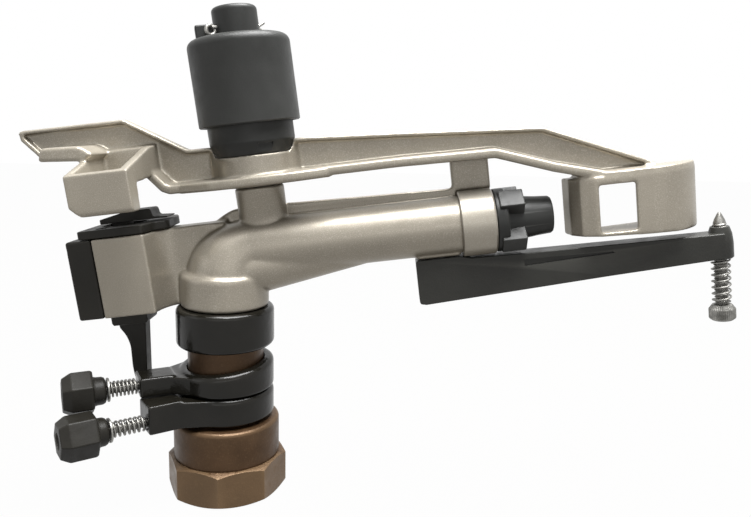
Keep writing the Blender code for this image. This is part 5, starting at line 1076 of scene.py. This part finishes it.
weight = plate("weight", [(2.6, 59.6), (-10.0, 58.4), (-45.0, 49.0), (-45.0, 30.2), (-43.6, 29.0),
                          (-35.6, 29.0),
                          (-34.6, 30.0), (-34.4, 42.0), (2.6, 44.6)], -58.0, -27.6, plane="YZ")
pocket = plate("pocket", [(-4.0, 62.0), (-42.0, 62.0), (-42.0, 45.6), (-4.0, 47.0)], -54.4, -32.2,
               plane="YZ")
cut_out(weight, pocket)
select_only(weight)
edit_all()
bpy.ops.mesh.bisect(plane_co=(-58.0 * MM, 0, 33.8 * MM), plane_no=(-1, 0, -1), use_fill=True,
                    clear_outer=True)
bpy.ops.object.mode_set(mode="OBJECT")
weld_on(arm, top_flange, bottom_flange, tail_rim, hub_sides, hub, apron, lip, weight)

# %% Deflector
VANE_CENTRE = (223.6, 15.0)
outer = [(181.6, 6.0), (183.0, -4.0), (187.4, -10.6), (194.0, -13.6), (214.0, -14.6), (222.0, -14.6)]
outer += round_arc(VANE_CENTRE, 29.6, -80, 0, 24)
inner = []
for i, (x, y) in enumerate(outer):
    along = (Vector(outer[min(i + 1, len(outer) - 1)]) - Vector(outer[max(i - 1, 0)])).normalized()
    inner.append((x - along.y * 3.0, y + along.x * 3.0))
spoon = plate("spoon", outer + inner[::-1], -15.2, 17.4, plane="XY")
weld_on(spoon, plate("floor_plate", outer, -15.2, -10.8, plane="XY"),
        plate("roof_plate", outer, 13.4, 17.4, plane="XY"),
        plate("roof_end", [(199.6, -13.5), (214.0, -14.3), (222.0, -14.3)] + round_arc(VANE_CENTRE,
                                                                                       29.3, -80, -24, 12)
              + [(250.6, 5.0), (199.6, 5.0)], 13.6, 19.9, plane="XY"))
cut_out(spoon, brick("window", (196.0, 214.4), (-22.0, -9.0), (-10.8, 13.4)),
        brick("slant", (-20.0, 100.0), (-40.0, 80.0), (-20.0, 0.0),
              at(182.0, 0, -12.2) @ Matrix.Rotation(0.04, 4, "Y")))
weld_on(arm, spoon)
cut_out(arm, turned("cup_seat", [(19.9, 48.7), (21.6, 54.8), (21.6, 62.0)], on_post),
        turned("bush_bore", [(13.4, 31.0), (13.4, 33.9), (8.3, 33.9), (8.3, 62.0)], on_post, sides=64))
cast(arm, 0.75, 6)
settle(arm, on_barrel)
dress(arm, silver, "arm")

# %% [markdown]
# ## Spring cup and spring cap
# The arm's return spring sits in a moulded cup on the arm's hub, under a tall cap. A cotter pin
# through the cap's hub and the pivot pin holds the cap against the spring. The cap's skirt and the
# cup are plain turned shapes with generous rounding, as moulded parts have.

# %% Spring cup
cup = turned("spring_cup",
             [(18.4, 48.5), (19.2, 49.0), (21.8, 54.6), (22.0, 55.4), (22.0, 66.5), (21.5, 67.0)],
             on_post)
cut_out(cup, turned("cup_room", [(5.5, 47.0), (5.5, 52.2), (18.8, 52.2), (19.6, 53.0), (19.6, 68.0)],
                    on_post))
for turn in (-62, 58, 178):
    cut_out(cup, brick("notch", (19.9, 26.0), (-3.8, 3.8), (47.0, 54.0),
                       on_post @ spun(turn)))
round_edges(cup, 0.3 * MM, 2, 40.0)
settle(cup, on_barrel)
smooth(cup, 35.0)
dress(cup, plastic, "arm")

# %% Spring cap
cap = turned("spring_cap",
             [(25.3, 64.0), (25.9, 64.6), (25.9, 103.0)] + rounding(21.7, 103.2, 4.2, 8, 82, 6)
             + [(11.6, 107.7), (11.4, 108.2)] + [(11.4, 120.0)] + rounding(9.2, 120.3, 2.2, 0, 88, 5),
             on_post)
lug = brick("cap_lug", (-20.6, -9.0), (-4.6, 4.6), (105.6, 114.4), edge=0.9, segments=3)
settle(lug, on_post @ spun(16))
weld_on(cap, lug)
cut_out(cap, turned("cap_room", [(23.7, 62.0), (23.7, 103.6), (21.7, 105.2), (5.3, 105.2), (5.3, 118.8)],
                    on_post))
cotter_frame = (on_post @ at(0, 0, 112.4) @ spun(40)
                @ spun(90, "Y"))
bore(cap, 1.6, -16.0, 16.0, cotter_frame, 32)
settle(cap, on_barrel)
smooth(cap, 35.0)
dress(cap, plastic, "head")

# %% [markdown]
# ## The cotter pin
# A cotter is half-round wire folded into an eye. A torus gives the eye, a rod the shank, and two
# short legs are bent apart behind the hub.

# %% Cotter pin
cotter = turned("cotter_pin", [(1.3, -13.6), (1.3, 12.0)], sides=40)
select_only()
bpy.ops.mesh.primitive_torus_add(major_radius=2.3 * MM, minor_radius=1.0 * MM, major_segments=48,
                                 minor_segments=16,
                                 location=(1.2 * MM, 0, -14.4 * MM), rotation=(math.pi / 2, 0, 0))
ring_eye = settle(bpy.context.object)
legs = [turned("leg", [(0.85, -0.5), (0.85, 5.2), (0.5, 5.6)], at(0, 0, 11.5)
               @ spun(lean, "Y"), sides=24) for lean in (-28, 28)]
weld_on(cotter, ring_eye, *legs)
settle(cotter, on_barrel @ cotter_frame)
smooth(cotter, 45.0)
dress(cotter, steel, "head")

# %% [markdown]
# ## The diffuser bar and its screw
# A tapered bar is screwed under the barrel. At its end a pointed screw can be raised into the jet to
# break it up. A spring under the boss holds the screw where it is set, and its head is knurled, so
# that fingers can turn it. The knurl is made by drawing in every second column of a turned head.
# As the screw rises, its head comes nearer to the boss and squashes the spring; here the spring is
# one plain coil that does not change with it.

# %% Diffuser bar
SCREW_AT = 261.0
BOSS_FOOT = -33.4
BAR_SCREWS = (107.0, 118.6)
bar = plate("diffuser_bar",
            [(101.4, -16.1), (124.0, -16.1), (130.0, -17.6), (149.0, -17.9), (252.0, -19.4),
                             (SCREW_AT, -19.4), (SCREW_AT, -32.8), (250.0, -33.2), (200.0, -35.3),
             (104.0, -40.2),
                             (101.2, -39.6), (100.6, -38.6), (100.6, -16.9)], -6.5, 6.5)
round_edges(bar, 0.9 * MM, 3, 30.0)
boss = turned("boss", [(5.9, -33.2), (6.6, -32.5), (6.5, -25.0), (5.9, -20.0), (4.7, -16.4),
                       (4.3, -16.2)],
              standing(SCREW_AT))
weld_on(bar, boss)
cut_out(bar, plate("groove", [(157.0, -24.9), (204.0, -23.0), (203.0, -22.2), (157.0, -21.2)], -8.0,
                   -5.3),
        turned("screw_way", [(3.8, -36.0), (3.8, -15.0)], standing(SCREW_AT), sides=48))
for s in BAR_SCREWS:
    cut_out(bar, turned("counterbore", [(3.3, -42.0), (3.3, -36.0), (1.7, -36.0), (1.7, -17.0)],
                        standing(s), sides=40))
round_edges(bar, 0.3 * MM, 2, 45.0)
settle(bar, on_barrel)
smooth(bar, 35.0)
dress(bar, satin_black, "head")
for k, s in enumerate(BAR_SCREWS):
    screw = slotted_screw(f"bar_screw_{k + 1}", 22.2, 1.4, on_barrel @ at(s, 0, -36.1)
                          @ spun(180, "X") @ spun(20 + 65 * k))
    dress(screw, steel, "head")

# %% Diffuser screw and spring
diffuser = thread("diffuser_screw", 3.6, 3.05, 1.25, -58.6, -8.8, steps=48)
use_tools(diffuser, [turned("pointed_blank",
                            [(3.9, -60.0), (3.9, -16.6), (2.6, -12.6), (1.3, -10.0), (0.6, -8.95)],
                            sides=64)],
          "INTERSECT")
knurled = turned("knurled",
                 [(5.4, -66.9), (6.5, -66.0), (6.7, -65.7), (6.7, -61.0), (6.5, -60.7), (5.0, -58.6),
                  (3.5, -58.2)],
                 sides=80)
select_only(knurled)
bpy.ops.object.mode_set(mode="EDIT")
bpy.ops.mesh.select_mode(type="VERT")
mesh = bmesh.from_edit_mesh(knurled.data)
bpy.ops.mesh.select_all(action="DESELECT")
for vert in mesh.verts:
    column = round(math.degrees(math.atan2(vert.co.y, vert.co.x)) / 4.5)
    vert.select_set(column % 2 == 0 and -66.1 * MM < vert.co.z < -60.4 * MM)
bpy.ops.transform.resize(value=(0.93, 0.93, 1.0), center_override=(0, 0, -63.0 * MM))
bpy.ops.object.mode_set(mode="OBJECT")
cut_out(knurled, turned("head_dish", [(2.6, -68.0), (2.6, -65.4), (1.6, -64.4)], sides=48))
weld_on(diffuser, knurled)
settle(diffuser, on_barrel @ standing(SCREW_AT))
smooth(diffuser, 30.0)
dress(diffuser, steel, "diffuser")

diffuser_spring = coil("diffuser_spring", 4.45, 0.5, -58.0, BOSS_FOOT, 7, on_barrel @ standing(SCREW_AT))
dress(diffuser_spring, steel, "head")
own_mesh(diffuser_spring)

# %% [markdown]
# ## Inside
# The hidden solids already have the right shape: tube, seal, washers, pins, bushings and two
# springs. They keep their meshes and only change their material.

# %% Finishes for the hidden solids
INSIDE = {
    brass: ("spindle_tube", "arm_bushing_lower", "arm_bushing_upper"),
    rubber: ("spindle_seal", "nozzle_gasket"),
    plastic: ("thrust_washer_lower", "thrust_washer_upper"),
    steel: ("trip_pin", "pawl_pin", "toggle_spring", "pivot_washer", "pivot_pin", "return_spring"),
}
for finish, names in INSIDE.items():
    for name in names:
        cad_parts[name].material_slots[0].material = finish
    print(finish.name, "on", ", ".join(names))
